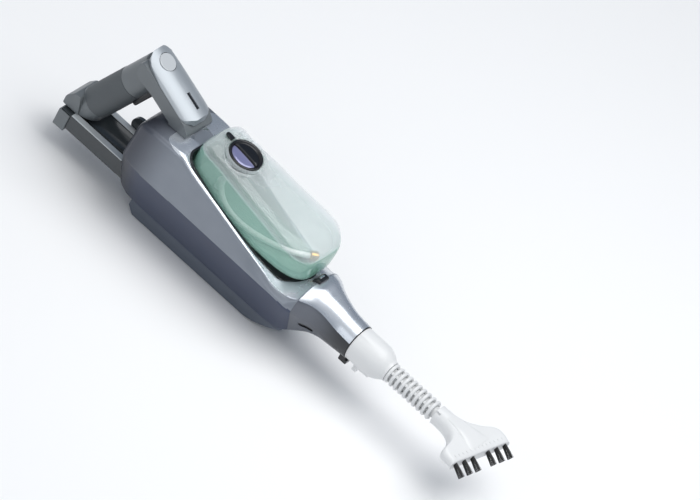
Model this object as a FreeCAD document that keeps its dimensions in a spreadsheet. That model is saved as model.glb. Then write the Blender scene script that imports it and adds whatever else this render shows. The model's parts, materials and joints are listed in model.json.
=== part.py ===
import FreeCAD, Part
import Sketcher
import math
import os
from types import SimpleNamespace
from FreeCAD import Placement, Rotation, Vector

# Handheld steam cleaner lying on its flat back. X runs along the body towards the nozzle,
# Z points up out of the front (the water tank side), Y is across. Stations along X are
# counted from the handle end of the rear rail; every node's Placement then moves it back
# by half of the whole length, so the origin is the middle of the base. Millimetres.

SIZES = {
    "wall": 2.5, "gap": 0.3, "body_half": 50, "body_len": 212, "front_z": 123.5,
    "front_fall": 0.322, "base_z": 17, "rail_half": 18, "rail_len": 166,
    "axis_z": 60, "collar_r": 20, "collar_x": 276, "gasket_len": 0.8,
    "tank_floor": 86, "tank_wall": 2.2, "tank_top": 145.5, "tank_fall": 0.128,
    "mouth_half": 37, "mouth_wall": 2, "valve_x": 68, "valve_r": 7,
    "cap_x": 78, "cap_z": 147.5, "cap_r": 19, "cap_skirt": 5.6, "filler_r": 15,
    "plate_half": 21.5, "plate_z": 160.8, "plate_x": 42, "plate_fall": 0.392,
    "plate_crown": 8.4, "button_r": 10, "button_depth": 7, "lens_len": 18.7, "lens_half": 2,
    "grip_half": 16.5, "grip_deep": 17.5, "grip_len": 110.3, "sleeve_wall": 1.6,
    "frame_half": 24, "frame_low": 31, "frame_high": 49, "frame_start": 110, "tail": 115,
    "adaptor_r": 19, "adaptor_len": 29, "plug_r": 12, "plug_len": 24,
    "guard_r": 11, "guard_len": 60, "rib_count": 10, "rib_pitch": 6.2, "tube_r": 6.3,
    "head_half": 42, "head_deep": 7.5, "tuft_r": 2.5, "tuft_len": 15, "tuft_pitch": 12,
    "boiler_r": 19, "boiler_len": 64, "pump_r": 12, "hose_r": 3,
}
TILT_CAP = math.degrees(math.atan(SIZES["tank_fall"]))
TILT_PLATE = math.degrees(math.atan(SIZES["plate_fall"]))
HEAD_PITCH = math.radians(22)
HEAD_YAW = math.radians(10)
HEAD_FACE = 59.5
TUFT_FIRST = 10.9


class Dim:
    """A length with its value and the sheet expression that gives it."""

    def __init__(self, value, text):
        self.value, self.text = float(value), text

    def __add__(self, other):
        other = dim(other)
        return Dim(self.value + other.value, "(%s + %s)" % (self.text, other.text))

    def __sub__(self, other):
        other = dim(other)
        return Dim(self.value - other.value, "(%s - %s)" % (self.text, other.text))

    def __mul__(self, other):
        other = dim(other)
        return Dim(self.value * other.value, "(%s * %s)" % (self.text, other.text))

    def __radd__(self, other):
        return dim(other) + self

    def __rsub__(self, other):
        return dim(other) - self

    __rmul__ = __mul__

    def __neg__(self):
        return self * -1

    def __float__(self):
        return self.value


def dim(value):
    return value if isinstance(value, Dim) else Dim(value, "(%g)" % value)


doc = FreeCAD.newDocument("steam_cleaner")
sheet = doc.addObject("Spreadsheet::Sheet", "sizes")
for row, (alias, size) in enumerate(SIZES.items(), start=1):
    sheet.set("A%d" % row, alias)
    sheet.set("B%d" % row, "%g" % size)
    sheet.setAlias("B%d" % row, alias)
doc.recompute()
q = SimpleNamespace(**{alias: Dim(size, "sizes." + alias) for alias, size in SIZES.items()})

nose_x = q.collar_x + q.gasket_len + q.gap          # where the white nozzle starts
guard_x = nose_x + q.adaptor_len + 16               # ribbed guard after the shoulder
head_x = guard_x + q.guard_len + 4                  # brush head stem
forward = math.cos(HEAD_YAW) * math.cos(HEAD_PITCH)  # share of a tuft's length that runs along X
tip_x = (head_x + HEAD_FACE + (q.tuft_pitch * 2 + TUFT_FIRST) * math.sin(HEAD_YAW)
         + q.tuft_len * forward + q.tuft_r * math.sqrt(1 - forward ** 2))
mid_x = (tip_x - q.tail) * 0.5
KY = q.body_half.value / 50.0                       # how wide the body and tank are drawn
NODES = []


def node(obj, label):
    obj.Label = label
    NODES.append(obj)
    return obj


def place(obj, x, y, z, rotation=Rotation()):
    """Set an object at station x, with its position bound to the sheet."""
    base = [dim(x) - mid_x, dim(y), dim(z)]
    obj.Placement = Placement(Vector(*[b.value for b in base]), rotation)
    for letter, b in zip("xyz", base):
        obj.setExpression(".Placement.Base." + letter, b.text)
    return obj


def bind(obj, **sizes):
    for prop, size in sizes.items():
        size = dim(size)
        setattr(obj, prop, size.value)
        obj.setExpression(prop, size.text)
    return obj


AXES = {"x": Rotation(Vector(0, 1, 0), 90), "y": Rotation(Vector(1, 0, 0), -90), "z": Rotation()}


def box(x, y, z, lx, ly, lz, rotation=Rotation()):
    obj = bind(doc.addObject("Part::Box", "block"), Length=lx, Width=ly, Height=lz)
    return place(obj, x, y, z, rotation)


def rod(radius, length, x, y, z, axis="x", rotation=None):
    obj = bind(doc.addObject("Part::Cylinder", "rod"), Radius=radius, Height=length)
    return place(obj, x, y, z, rotation or AXES[axis])


def ring(outer, inner, length, x, y, z, axis="x", rotation=None):
    body = rod(outer, length, x, y, z, axis, rotation)
    return cut(body, rod(inner, length, x, y, z, axis, rotation))


def cut(base, *tools):
    for tool in tools:
        obj = doc.addObject("Part::Cut", "cut")
        obj.Base, obj.Tool = base, tool
        base = obj
    return base


def fuse(*shapes):
    obj = doc.addObject("Part::MultiFuse", "join")
    obj.Shapes = list(shapes)
    obj.Refine = True
    return obj


def group(*shapes):
    obj = doc.addObject("Part::Compound", "set")
    obj.Links = list(shapes)
    return obj


def origin_plane(body, role):
    return [f for f in body.Origin.OriginFeatures if f.Role == role][0]


def outline_sketch(body, role, points, offset=None):
    """A closed polygon whose every corner is held by two bound dimensions."""
    sketch = body.newObject("Sketcher::SketchObject", "outline")
    sketch.AttachmentSupport = [(origin_plane(body, role), "")]
    sketch.MapMode = "FlatFace"
    flat = [Vector(dim(a).value, dim(b).value, 0) for a, b in points]
    for i, start in enumerate(flat):
        sketch.addGeometry(Part.LineSegment(start, flat[(i + 1) % len(flat)]), False)
    for i, (a, b) in enumerate(points):
        sketch.addConstraint(Sketcher.Constraint("Coincident", i, 2, (i + 1) % len(points), 1))
        for kind, size in (("DistanceX", dim(a)), ("DistanceY", dim(b))):
            if abs(size.value) < 1e-9:
                axis = -2 if kind == "DistanceX" else -1
                sketch.addConstraint(Sketcher.Constraint("PointOnObject", i, 1, axis))
                continue
            index = sketch.addConstraint(Sketcher.Constraint(kind, i, 1, size.value))
            sketch.setExpression("Constraints[%d]" % index, size.text)
    return sketch


def turned(points, x, y, z, rotation=Rotation()):
    """Revolve a profile of (along, radius) about the local X axis."""
    body = doc.addObject("PartDesign::Body", "turned")
    sketch = outline_sketch(body, "XZ_Plane", points)
    turn = body.newObject("PartDesign::Revolution", "turn")
    turn.Profile = sketch
    turn.ReferenceAxis = (sketch, ["H_Axis"])
    turn.Angle = 360
    return place(body, x, y, z, rotation)


def feature(shape, label):
    """A freeform node: its shape is drawn at body stations, then moved by its Placement."""
    obj = doc.addObject("Part::Feature", label)
    obj.Shape = shape
    place(obj, 0, 0, 0)
    return node(obj, label)


# ---- freeform helpers ----------------------------------------------------------------

def mirror_half(half):
    return half + [(-a, b) for a, b in reversed(half)]


def inset(points, depth):
    """Move every side of a convex outline inwards."""
    lines, total = [], len(points)
    area = sum(points[i][0] * points[(i + 1) % total][1] - points[(i + 1) % total][0] * points[i][1]
               for i in range(total))
    turn = 1 if area > 0 else -1
    for i, (ax, ay) in enumerate(points):
        bx, by = points[(i + 1) % total]
        size = math.hypot(bx - ax, by - ay)
        nx, ny = -(by - ay) / size * turn, (bx - ax) / size * turn
        lines.append((nx, ny, nx * ax + ny * ay + depth))
    out = []
    for i in range(total):
        (a, b, c), (d, e, f) = lines[i - 1], lines[i]
        det = a * e - b * d
        out.append(((c * e - b * f) / det, (a * f - c * d) / det))
    return out


def rounded(points, radii, lift):
    """A closed wire of straight sides and tangent arcs; lift maps (a, b) to space."""
    edges, ends, total = [], [], len(points)
    for i in range(total):
        p = Vector(points[i][0], points[i][1], 0)
        back = Vector(points[i - 1][0], points[i - 1][1], 0) - p
        ahead = Vector(points[(i + 1) % total][0], points[(i + 1) % total][1], 0) - p
        half_turn = (math.pi - back.getAngle(ahead)) / 2
        reach = min(radii[i] * math.tan(half_turn), 0.47 * min(back.Length, ahead.Length))
        radius = reach / math.tan(half_turn)
        back.normalize()
        ahead.normalize()
        bisector = (back + ahead).normalize()
        centre = p + bisector * (radius / math.cos(half_turn))
        ends.append([p + back * reach, centre - bisector * radius, p + ahead * reach])
    for i in range(total):
        a, b, c = [lift(v.x, v.y) for v in ends[i]]
        edges.append(Part.Arc(a, b, c).toShape())
        edges.append(Part.LineSegment(c, lift(*ends[(i + 1) % total][0][:2])).toShape())
    return Part.Wire(edges)


def across(x, points, radii):
    return rounded(points, radii, lambda a, b: Vector(x, a, b))


def skin(stations, radii, depth=0.0):
    """A solid lofted through cross-sections (x, half outline), optionally set in."""
    wires = []
    for x, half in stations:
        full = mirror_half(half)
        r = radii + radii[::-1]
        if depth:
            full, r = inset(full, depth), [max(v - depth, 0.8) for v in r]
        wires.append(across(x, full, r))
    return Part.makeLoft(wires, True, False)


def prism(points, radii, low, high):
    wire = rounded(points, radii, lambda a, b: Vector(a, b, low))
    return Part.Face(wire).extrude(Vector(0, 0, high - low))


def side_prism(points, radii, half):
    wire = rounded(points, radii, lambda a, b: Vector(a, -half, b))
    return Part.Face(wire).extrude(Vector(0, 2 * half, 0))


def brick(x0, x1, y0, y1, z0, z1):
    return Part.makeBox(x1 - x0, y1 - y0, z1 - z0, Vector(x0, y0, z0))


def above_plane(x, z, fall, thick=90.0):
    """A slab above the plane through (x, z) that falls along X."""
    slab = brick(-300, 300, -90, 90, 0, thick)
    slab.rotate(Vector(0, 0, 0), Vector(0, 1, 0), math.degrees(math.atan(fall)))
    slab.translate(Vector(x, 0, z))
    return slab


def scaled(half, k, centre):
    return [(a * k, centre + (b - centre) * k) for a, b in half]


def tube_path(points):
    """Straight runs joined by tangent arcs, each as large as its runs allow."""
    points = [Vector(*p) for p in points]
    edges, start, radii = [], points[0], []
    for a, b, c in zip(points, points[1:], points[2:]):
        back, ahead = a - b, c - b
        half_turn = (math.pi - back.getAngle(ahead)) / 2
        reach = 0.45 * min(back.Length, ahead.Length)
        radii.append(reach / math.tan(half_turn))
        back.normalize()
        ahead.normalize()
        bisector = (back + ahead).normalize()
        centre = b + bisector * (radii[-1] / math.cos(half_turn))
        first, middle, last = b + back * reach, centre - bisector * radii[-1], b + ahead * reach
        edges += [Part.LineSegment(start, first).toShape(), Part.Arc(first, middle, last).toShape()]
        start = last
    edges.append(Part.LineSegment(start, points[-1]).toShape())
    return Part.Wire(edges), radii


def tube(points, radius, bore=0.0):
    path, radii = tube_path(points)
    along = Vector(*points[1]) - Vector(*points[0])
    solids = []
    for r in ([radius, bore] if bore else [radius]):
        profile = Part.Wire(Part.Circle(Vector(*points[0]), along, r).toShape())
        solids.append(path.makePipeShell([profile], True, True))
    return (solids[0].cut(solids[1]) if bore else solids[0]), path.Length, radii


# ---- body casing, bezel, tray, neck ----------------------------------------------------

wall, gap = q.wall.value, q.gap.value
FRONT_X = 30.0


def front(x):
    return q.front_z.value - q.front_fall.value * (x - FRONT_X)


def body_half(x):
    share = (x + 17) / 220
    trim = front(x) if x > FRONT_X else q.front_z.value + 1
    crown = 1.5 if x < 130 else 1.5 + (x - 130) * 0.075
    w_trim = (42 - 4 * (x - 21) / 177) * KY
    return [(22 * KY, q.base_z.value), ((50 - 7 * share) * KY, 77 - 9 * share),
            (w_trim, trim), (0.5 * w_trim, trim + crown)]


END = [(-27, 0.62), (-24.5, 0.77), (-19.5, 0.88), (-12, 0.95), (-4, 0.99)]
BODY = [(x, scaled(body_half(x), k, 68)) for x, k in END]
BODY += [(x, body_half(x)) for x in (6, 18, 30, 70, 110, 150, 184)]
BODY += [(203, [(22 * KY, 20), (43 * KY, 67), (38 * KY, 72.5), (20 * KY, 85)]),
         (q.body_len.value, [(20 * KY, 26), (38.5 * KY, 64), (34 * KY, 79), (17 * KY, 90)])]
BODY_R = [5, 9, 6, 30]
casing_solid = skin(BODY, BODY_R)
casing_core = skin([(x + (wall if i == 0 else 0), half) for i, (x, half) in enumerate(BODY)],
                   BODY_R, wall)
shell = casing_solid.cut(casing_core)
trim_slab = above_plane(FRONT_X, q.front_z.value - 1.6, q.front_fall.value)
half_left = brick(-400, 800, -200, 0, -10, 400)
half_right = brick(-400, 800, 0, 200, -10, 400)

mw = q.mouth_half.value * KY
MOUTH = [(34.5, 0.78 * mw), (45, mw), (110, 0.995 * mw), (150, 0.93 * mw), (182, 0.78 * mw),
         (197, 0.46 * mw), (203.5, 0.0)]
MOUTH = MOUTH + [(x, -y) for x, y in reversed(MOUTH[:-1])]
MOUTH_R = [12, 20, 80, 60, 30, 16, 14, 16, 30, 60, 80, 20, 12]
mouth = prism(MOUTH, MOUTH_R, 60, 160)
tray_outer = prism(inset(MOUTH, gap), MOUTH_R, 60, 160)
tray_inner = prism(inset(MOUTH, gap + q.mouth_wall.value), [max(r - 2, 2) for r in MOUTH_R], 60, 160)

# Slots that other pieces pass through.
frame_hole = brick(-60, -10, -q.frame_half.value - 0.2, q.frame_half.value + 0.2,
                   q.frame_low.value - 0.2, q.frame_high.value + 0.2)
latch_hole = brick(203, 219.2, -8.5, 8.5, 82, 99)
RAIL_SCREWS = [(20, 9), (75, -9), (116, 9), (156, -9)]
screw_holes = Part.makeCompound([Part.makeCylinder(1.7, 12, Vector(x, y, 12)) for x, y in RAIL_SCREWS])

lower = shell.cut(trim_slab).cut(mouth).cut(frame_hole).cut(screw_holes).cut(latch_hole)
feature(lower.common(half_left), "left_casing")
feature(lower.common(half_right), "right_casing")
bezel = shell.common(trim_slab).cut(mouth).cut(latch_hole)
feature(bezel, "front_bezel")

FLOOR = [(30, 84), (120, 84), (186, 69.5), (214, 69.5)]
tray_cavity = side_prism(FLOOR + [(214, 170), (30, 170)], [0.5] * 6, 80)
tray_under = side_prism([(x, z - q.mouth_wall.value) for x, z in FLOOR] + [(214, 170), (30, 170)],
                        [0.5] * 6, 80)
seat_bore = Part.makeCylinder(q.valve_r.value + 3.4, 8, Vector(q.valve_x.value, 0, 79))
tray = tray_outer.common(tray_under).common(casing_solid).cut(tray_inner.common(tray_cavity))
feature(tray.cut(seat_bore).cut(latch_hole), "bay_tray")

K2, K4 = (1 + KY) / 2, (3 + KY) / 4
NECK = [(q.body_len.value, BODY[-1][1]),
        (221, [(15.5, 30), (31 * KY, 60), (28 * KY, 78), (13.5, 90)]),
        (230, [(12.5 * K2, 34), (25 * K2, 57), (22.5 * K2, 76), (11 * K2, 87.3)]),
        (242, [(10 * K4, 36.5), (22 * K4, 54), (20.5 * K4, 73), (9.5 * K4, 84.6)]),
        (258, [(9, 38), (20.7, 52.5), (20.2, 70), (8.8, 82)])]
cr, cz = q.collar_r.value, q.axis_z.value
NECK.append((q.collar_x.value, [(0.414 * cr, cz - cr), (cr, cz - 0.414 * cr),
                                (cr, cz + 0.414 * cr), (0.414 * cr, cz + cr)]))


def neck_skin(depth):
    """The neck rounds from the body's creased outline to the round collar."""
    wires = []
    for i, (x, half) in enumerate(NECK):
        full = mirror_half(half)
        start = BODY_R + BODY_R[::-1]
        r = [v + (cr * 0.99 - v) * min(1.0, i / 4) for v in start]
        if depth:
            full, r = inset(full, depth), [max(v - depth, 0.8) for v in r]
        wires.append(across(x, full, r))
    return Part.makeLoft(wires, True, False)


neck = neck_skin(0).cut(neck_skin(wall)).cut(brick(200, q.body_len.value + 0.15, -90, 90, 0, 120))
cup_holes = prism([(220, 44), (220, 50), (236, 50), (236, 44)], [2.9] * 4, -60, 60)
cup_holes.rotate(Vector(0, 0, 0), Vector(1, 0, 0), 90)
button_slot = brick(266.7, q.collar_x.value + 4, -6.4, 6.4, 24, 46)
neck = neck.cut(cup_holes).cut(button_slot).cut(latch_hole)
seam = brick(200, 290, -90, 90, 77.4, 120)
feature(neck.cut(seam), "neck_shell")
feature(neck.common(seam).cut(brick(200, 290, -90, 90, 77.0, 77.5)), "neck_front_cover")

cups = prism([(220.2, 44.2), (220.2, 49.8), (235.8, 49.8), (235.8, 44.2)], [2.7] * 4, -60, 60)
cups.rotate(Vector(0, 0, 0), Vector(1, 0, 0), 90)
cups = cups.common(neck_skin(1.0)).cut(neck_skin(wall + 1.5))
feature(cups.cut(neck_skin(1.8).common(brick(222, 234, -60, 60, 45.5, 48.5))), "neck_recess_cups")

# Rear rail: the flat that the machine lies on, closing the underside.
rail_high = q.base_z.value
rail_end = q.rail_len.value
RAIL = [(0, 0), (rail_end, 0), (rail_end + 25, 10.5), (rail_end + 39, 18.5), (rail_end + 42, 23),
        (rail_end + 36, 21.5), (rail_end + 20, rail_high + 1), (0, rail_high + 1)]
rail = side_prism(RAIL, [7, 40, 12, 2, 1, 4, 6, 3], q.rail_half.value + 2)
# The long lower edges and both ends are cut back flat, so the machine stands on a plain rectangle.
rail_wide = q.rail_half.value + 2
WEDGES = [[(-1, -1), (10, -1), (-1, 10)],
          [(rail_end - 14, -1.02), (rail_end + 8.3, 3.48), (rail_end + 8.3, -1.02)]]
for wedge in WEDGES:
    face = Part.Face(Part.makePolygon([Vector(x, -40, z) for x, z in wedge + wedge[:1]]))
    rail = rail.cut(face.extrude(Vector(0, 80, 0)))
for side in (-1, 1):
    lip = [(side * (rail_wide - 2.2), -1), (side * (rail_wide + 1), 2.2), (side * (rail_wide + 1), -1)]
    face = Part.Face(Part.makePolygon([Vector(-5, y, z) for y, z in lip + lip[:1]]))
    rail = rail.cut(face.extrude(Vector(rail_end + 60, 0, 0)))
counterbores = [Part.makeCylinder(3.3, 8, Vector(x, y, -1)) for x, y in RAIL_SCREWS]
rail = rail.cut(casing_solid).cut(screw_holes).cut(Part.makeCompound(counterbores))
rail = rail.cut(Part.makeCompound([Part.makeCylinder(1.7, 30, Vector(x, y, 0)) for x, y in RAIL_SCREWS]))
feature(rail, "rear_rail")
node(group(*[fuse(rod(1.5, 15.5, x, y, 6.9, "z"), rod(3, 2, x, y, 5, "z"))
             for x, y in RAIL_SCREWS]), "rail_screws")

# ---- handle ------------------------------------------------------------------------------

pz, px, pf = q.plate_z.value, -q.plate_x.value, q.plate_fall.value
ph = q.plate_half.value


def edge_z(x):
    return pz - pf * (x - px)


slope = Vector(math.cos(math.radians(TILT_PLATE)), 0, -math.sin(math.radians(TILT_PLATE)))
rise = Vector(-slope.z, 0, slope.x)
button_face = Vector(px, 0, pz + q.plate_crown.value)
BRIDGE = [(-60, 147), (-59, edge_z(-59) - 0.2), (13, edge_z(13) - 0.2), (21, 131), (21, 126.6),
          (-3, 126.6), (-3, edge_z(-3) - 17), (-34, edge_z(-34) - 17)]
BRIDGE_R = [9, 5, 8, 4, 1, 1.5, 7, 12]
bridge = side_prism(BRIDGE, BRIDGE_R, ph)
bridge_core = side_prism(inset(BRIDGE, wall), [max(r - wall, 1) for r in BRIDGE_R], ph - wall)

grip_top, grip_way = Vector(-49.5, 0, 150), Vector(-0.4217, 0, -0.9067)
grip_front = Vector(0.9067, 0, -0.4217)


def grip_oval(half, deep, start, length):
    """An oval bar along the grip, from start to start + length down its axis."""
    centre = grip_top + grip_way * start
    big, small = max(half, deep), min(half, deep)
    x_axis = grip_front if deep >= half else Vector(0, 1, 0)
    curve = Part.Ellipse(centre + x_axis * big,
                         centre + grip_way.cross(x_axis) * small, centre)
    return Part.Face(Part.Wire(curve.toShape())).extrude(grip_way * length)


def grip_block(u0, u1, v0, v1, half):
    """A block in the grip's own directions: u down the axis, v out of its front."""
    corners = [grip_top + grip_way * u + grip_front * v
               for u, v in ((u0, v0), (u1, v0), (u1, v1), (u0, v1))]
    face = Part.Face(Part.makePolygon([c + Vector(0, -half, 0) for c in corners + corners[:1]]))
    return face.extrude(Vector(0, 2 * half, 0))


gh, gd, gl = q.grip_half.value, q.grip_deep.value, q.grip_len.value
frame_top = q.frame_high.value + 1.6
floor_cut = brick(-200, 0, -90, 90, 0, frame_top)
grip = grip_oval(gh, gd, -6, gl + 20).cut(floor_cut)
grip_core = grip_oval(gh - wall, gd - wall, -3, gl + 30).cut(brick(-200, 0, -90, 90, 0, frame_top + 2.2))
SLEEVE = (34, 92)
sw = q.sleeve_wall.value
sleeve_seat = grip_oval(gh + 9, gd + 9, SLEEVE[0], SLEEVE[1] - SLEEVE[0])
sleeve_seat = sleeve_seat.cut(grip_oval(gh - sw, gd - sw, SLEEVE[0] - 1, SLEEVE[1] - SLEEVE[0] + 2))
trigger_slot = grip_block(15, 48.8, 6, 30, 6.4)
plate_holes = Part.makeCylinder(q.button_r.value + 0.4, 40,
                                button_face - rise * 20, rise)
handle = bridge.cut(bridge_core).cut(grip_oval(gh - wall, gd - wall, -3, 40))
handle = handle.fuse(grip.cut(grip_core).cut(bridge_core)).cut(sleeve_seat).cut(trigger_slot)
COVER = [(-q.tail.value, frame_top), (-q.tail.value, 61), (-107, 70.5), (-99, 70.5), (-94, frame_top)]
COVER_R = [2, 8, 5, 3, 1]
handle = handle.cut(plate_holes).cut(side_prism(inset(COVER, -0.15), COVER_R, gh + 3))
pivot_u, pivot_v = 19.5, 13.0
pivot = grip_top + grip_way * pivot_u + grip_front * pivot_v
handle = handle.cut(Part.makeCylinder(1.5, 17, pivot - Vector(0, 8.5, 0), Vector(0, 1, 0)))
feature(handle.common(half_left), "handle_left_shell")
feature(handle.common(half_right), "handle_right_shell")
sleeve = grip_oval(gh + 0.3, gd + 0.3, SLEEVE[0] + 0.15, SLEEVE[1] - SLEEVE[0] - 0.3)
sleeve = sleeve.cut(grip_oval(gh - sw + 0.05, gd - sw + 0.05, SLEEVE[0] - 1, 70)).cut(trigger_slot)
feature(sleeve, "grip_sleeve")

crown = q.plate_crown.value
arc = Part.Arc(Vector(0, -ph - 1, 0), Vector(0, 0, crown), Vector(0, ph + 1, 0)).toShape()
bow = Part.Face(Part.Wire([arc, Part.LineSegment(Vector(0, ph + 1, 0), Vector(0, -ph - 1, 0)).toShape()]))
bow = bow.extrude(Vector(100, 0, 0))
bow.rotate(Vector(0, 0, 0), Vector(0, 1, 0), TILT_PLATE)
bow.translate(Vector(px, 0, pz) - slope * 20)
PLAN = [(-58, 17), (-30, ph - 0.6), (10, ph), (18.5, 9)]
plan = prism(PLAN + [(x, -y) for x, y in reversed(PLAN)], [14, 60, 12, 9, 9, 12, 60, 14], 100, 200)
lens_at = Vector(-2, 0, edge_z(-2))
lens_slot = brick(-q.lens_len.value / 2 - 0.15, q.lens_len.value / 2 + 0.15, -q.lens_half.value - 0.15,
                  q.lens_half.value + 0.15, 3.5, 20)
lens_slot.rotate(Vector(0, 0, 0), Vector(0, 1, 0), TILT_PLATE)
lens_slot.translate(lens_at)
feature(bow.common(plan).cut(plate_holes).cut(lens_slot), "bridge_plate")
tilt = Rotation(Vector(0, 1, 0), TILT_PLATE)
lens_base = lens_at + rise * 3.6 - slope * (q.lens_len.value / 2)
node(box(lens_base.x, -q.lens_half, lens_base.z, q.lens_len, q.lens_half * 2, 4.2, tilt),
     "indicator_lens")
board_base = lens_at - rise * 5.5 - slope * 14
node(box(board_base.x, -8, board_base.z, 28, 16, 1.4, tilt), "indicator_board")

stem_base = button_face + rise * 0.4 - rise * q.button_depth.value
low = stem_base - rise * 5
node(fuse(rod(q.button_r, q.button_depth, stem_base.x, 0, stem_base.z, rotation=tilt),
          rod(3, 6, low.x, 0, low.z, rotation=tilt)), "power_button")
switch_base = low - rise * 8.2 - slope * 6
node(box(switch_base.x, -6, switch_base.z, 12, 12, 5.6, tilt), "power_switch")

trigger = grip_block(16, 46.8, 9, 21.5, 5.7)
trigger = trigger.makeFillet(2.4, trigger.Edges)
trigger = trigger.cut(Part.makeCylinder(1.55, 40, pivot - Vector(0, 20, 0), Vector(0, 1, 0)))
feature(trigger, "steam_trigger")
node(rod(1.5, 17, pivot.x, -8.5, pivot.z, "y"), "trigger_pin")
feature(grip_block(28, 44, -9, 1.5, 5), "trigger_switch")

# ---- rear frame under the grip ------------------------------------------------------------

fh, fl, ft, fs = (q.frame_half.value, q.frame_low.value, q.frame_high.value, q.frame_start.value)
frame = box(-q.frame_start, -q.frame_half, q.frame_low, q.frame_start - 14, q.frame_half * 2,
            q.frame_high - q.frame_low)
trough = rod(19, q.frame_start - 40, 14 - q.frame_start, 0, q.frame_high + 10, "x")
hollow = box(3 - q.frame_start, -q.frame_half + 2.5, q.frame_low - 1, q.frame_start - 20,
             q.frame_half * 2 - 5, q.frame_high - q.frame_low - 14)
node(fuse(cut(frame, trough, hollow), rod(2, 5.2, -46, q.frame_half - 1, 43.5, "y")), "rear_frame")
rims = [box(13 - q.frame_start, y, q.frame_high, q.frame_start - 40, q.frame_half - 16.5, 1.4)
        for y in (-q.frame_half, dim(16.5))]
node(group(*rims), "rear_frame_trim")
block = box(-q.frame_start - 2, -q.frame_half - 2, q.frame_low - 4, 14, q.frame_half * 2 + 4,
            q.frame_high - q.frame_low + 3)
void = box(-q.frame_start, -q.frame_half, q.frame_low, 13, q.frame_half * 2, q.frame_high)
node(cut(block, void), "rear_end_block")
node(ring(6, 3.4, 7, -q.frame_start + 5, 0, q.frame_low - 11, "z"), "cord_gland")

cover = side_prism(COVER, COVER_R, gh + 2.5)
cover = cover.cut(side_prism(inset(COVER, 2.2), [1, 6, 3, 2, 1], gh + 0.3))
feature(cover, "rear_end_cover")

hook = fuse(rod(10, 4.6, -46, q.frame_half + 0.3, 55, "y"),
            box(-51, q.frame_half + 0.3, 40, 10, 4.6, 15))
node(cut(hook, rod(2.1, 10, -46, q.frame_half - 1, 43.5, "y")), "cord_hook")

# ---- water tank -----------------------------------------------------------------------------

tf, tt, tw = q.tank_floor.value, q.tank_top.value, q.tank_wall.value


def tank_half(x, low_w, mid_w, top_w, crown_up=3.5):
    top = tt - q.tank_fall.value * (x - 48)
    return [(low_w * KY, tf), (mid_w * KY, 105), (top_w * KY, top), (0.5 * top_w * KY, top + crown_up)]


TANK = [(x, scaled(tank_half(x, 32.4, 32.6, 28), k, 113))
        for x, k in ((38.4, 0.62), (40.4, 0.78), (44, 0.91))]
TANK += [(x, tank_half(x, *widths)) for x, widths in (
    (49, (32.3, 32.7, 28.4)), (60, (33.2, 33.5, 29.4)), (87, (33.6, 33.9, 31.5)), (120, (32.4, 34.3, 35)),
    (150, (32, 35.8, 37.6)), (178, (29.5, 36.8, 39.6)))]
TANK += [(x, scaled(tank_half(x, 28.5, 36.4, 39.6), k, 101))
         for x, k in ((187, 0.965), (194, 0.885), (200, 0.75), (204, 0.5))]
TANK_R = [7, 40, 6, 24]
tank_solid = skin(TANK, TANK_R)
TANK_IN = [(TANK[0][0] + tw, TANK[0][1])] + TANK[1:-1] + [(TANK[-1][0] - tw, TANK[-1][1])]
tank_core = skin(TANK_IN, TANK_R, tw)
tank_shell = tank_solid.cut(tank_core)
lid_slab = above_plane(48, tt - 8, q.tank_fall.value)
cap_up = Vector(math.sin(math.radians(TILT_CAP)), 0, math.cos(math.radians(TILT_CAP)))
cap_top = Vector(q.cap_x.value, 0, q.cap_z.value)


def cap_disc(radius, low_h, high_h):
    return Part.makeCylinder(radius, high_h - low_h, cap_top + cap_up * low_h, cap_up)


cap_well, skirt = q.cap_r.value + 0.9, q.cap_skirt.value
collar = cap_disc(cap_well + 3.4, -4.4, -0.6).fuse(cap_disc(cap_well + 2, -skirt - 2.6, -1))
collar = collar.cut(cap_disc(cap_well, -skirt - 0.5, 9)).cut(cap_disc(q.filler_r.value, -30, 9))
lid = tank_shell.common(lid_slab).cut(cap_disc(cap_well + 1.9, -30, 30))
tab = Part.makeBox(8, 7, 2.4, Vector(-4, -3.5, 0))
tab.rotate(Vector(0, 0, 0), Vector(0, 1, 0), TILT_CAP)
tab.translate(Vector(q.cap_x.value - 19, 17, q.cap_z.value - 0.6))
feature(lid.fuse(collar).fuse(tab.cut(cap_disc(cap_well, -30, 9))), "tank_front")
valve_hole = Part.makeCylinder(4.1, 12, Vector(q.valve_x.value, 0, 82))
feature(tank_shell.cut(lid_slab).cut(cap_disc(cap_well + 3, -30, 30)).cut(valve_hole), "tank_back")

node(fuse(rod(4, 9, q.valve_x, 0, q.tank_floor - 5.8, "z"),
          rod(q.valve_r, 5.7, q.valve_x, 0, q.tank_floor - 5.8, "z")), "tank_valve")
fit_z = q.tank_floor + 3.2
node(rod(4.5, 12, q.valve_x, 0, fit_z, "z"), "hose_fitting")

HOSE = [(68, 0, 98), (76, -11, 100), (87, -20, 98.5), (101, -24, 96.5), (115, -23.5, 94.5),
        (130, -20.5, 93.6), (145, -15.5, 93.2), (159, -9, 92.8), (171, -1.5, 92.8), (181, 7, 93.6),
        (187, 13, 94.6)]
hose, hose_length, hose_radii = tube(HOSE, q.hose_r.value)
print("hose length %.1f, radii %s" % (hose_length, " ".join("%.0f" % r for r in hose_radii)))
print("hose volume %.0f, section times length %.0f"
      % (hose.Volume, math.pi * q.hose_r.value ** 2 * hose_length))
feature(hose, "suction_hose")
weight_way = Vector(*HOSE[-1]) - Vector(*HOSE[-2])
weight_way.normalize()
weight = Part.makeCylinder(5.2, 9, Vector(*HOSE[-1]) - weight_way * 4, weight_way)
weight = weight.makeFillet(1.6, weight.Edges[:1] + weight.Edges[2:])
feature(weight, "suction_weight")

to_cap = Rotation(Vector(0, 1, 0), TILT_CAP)


def on_cap(height):
    return cap_top + cap_up * height


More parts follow.
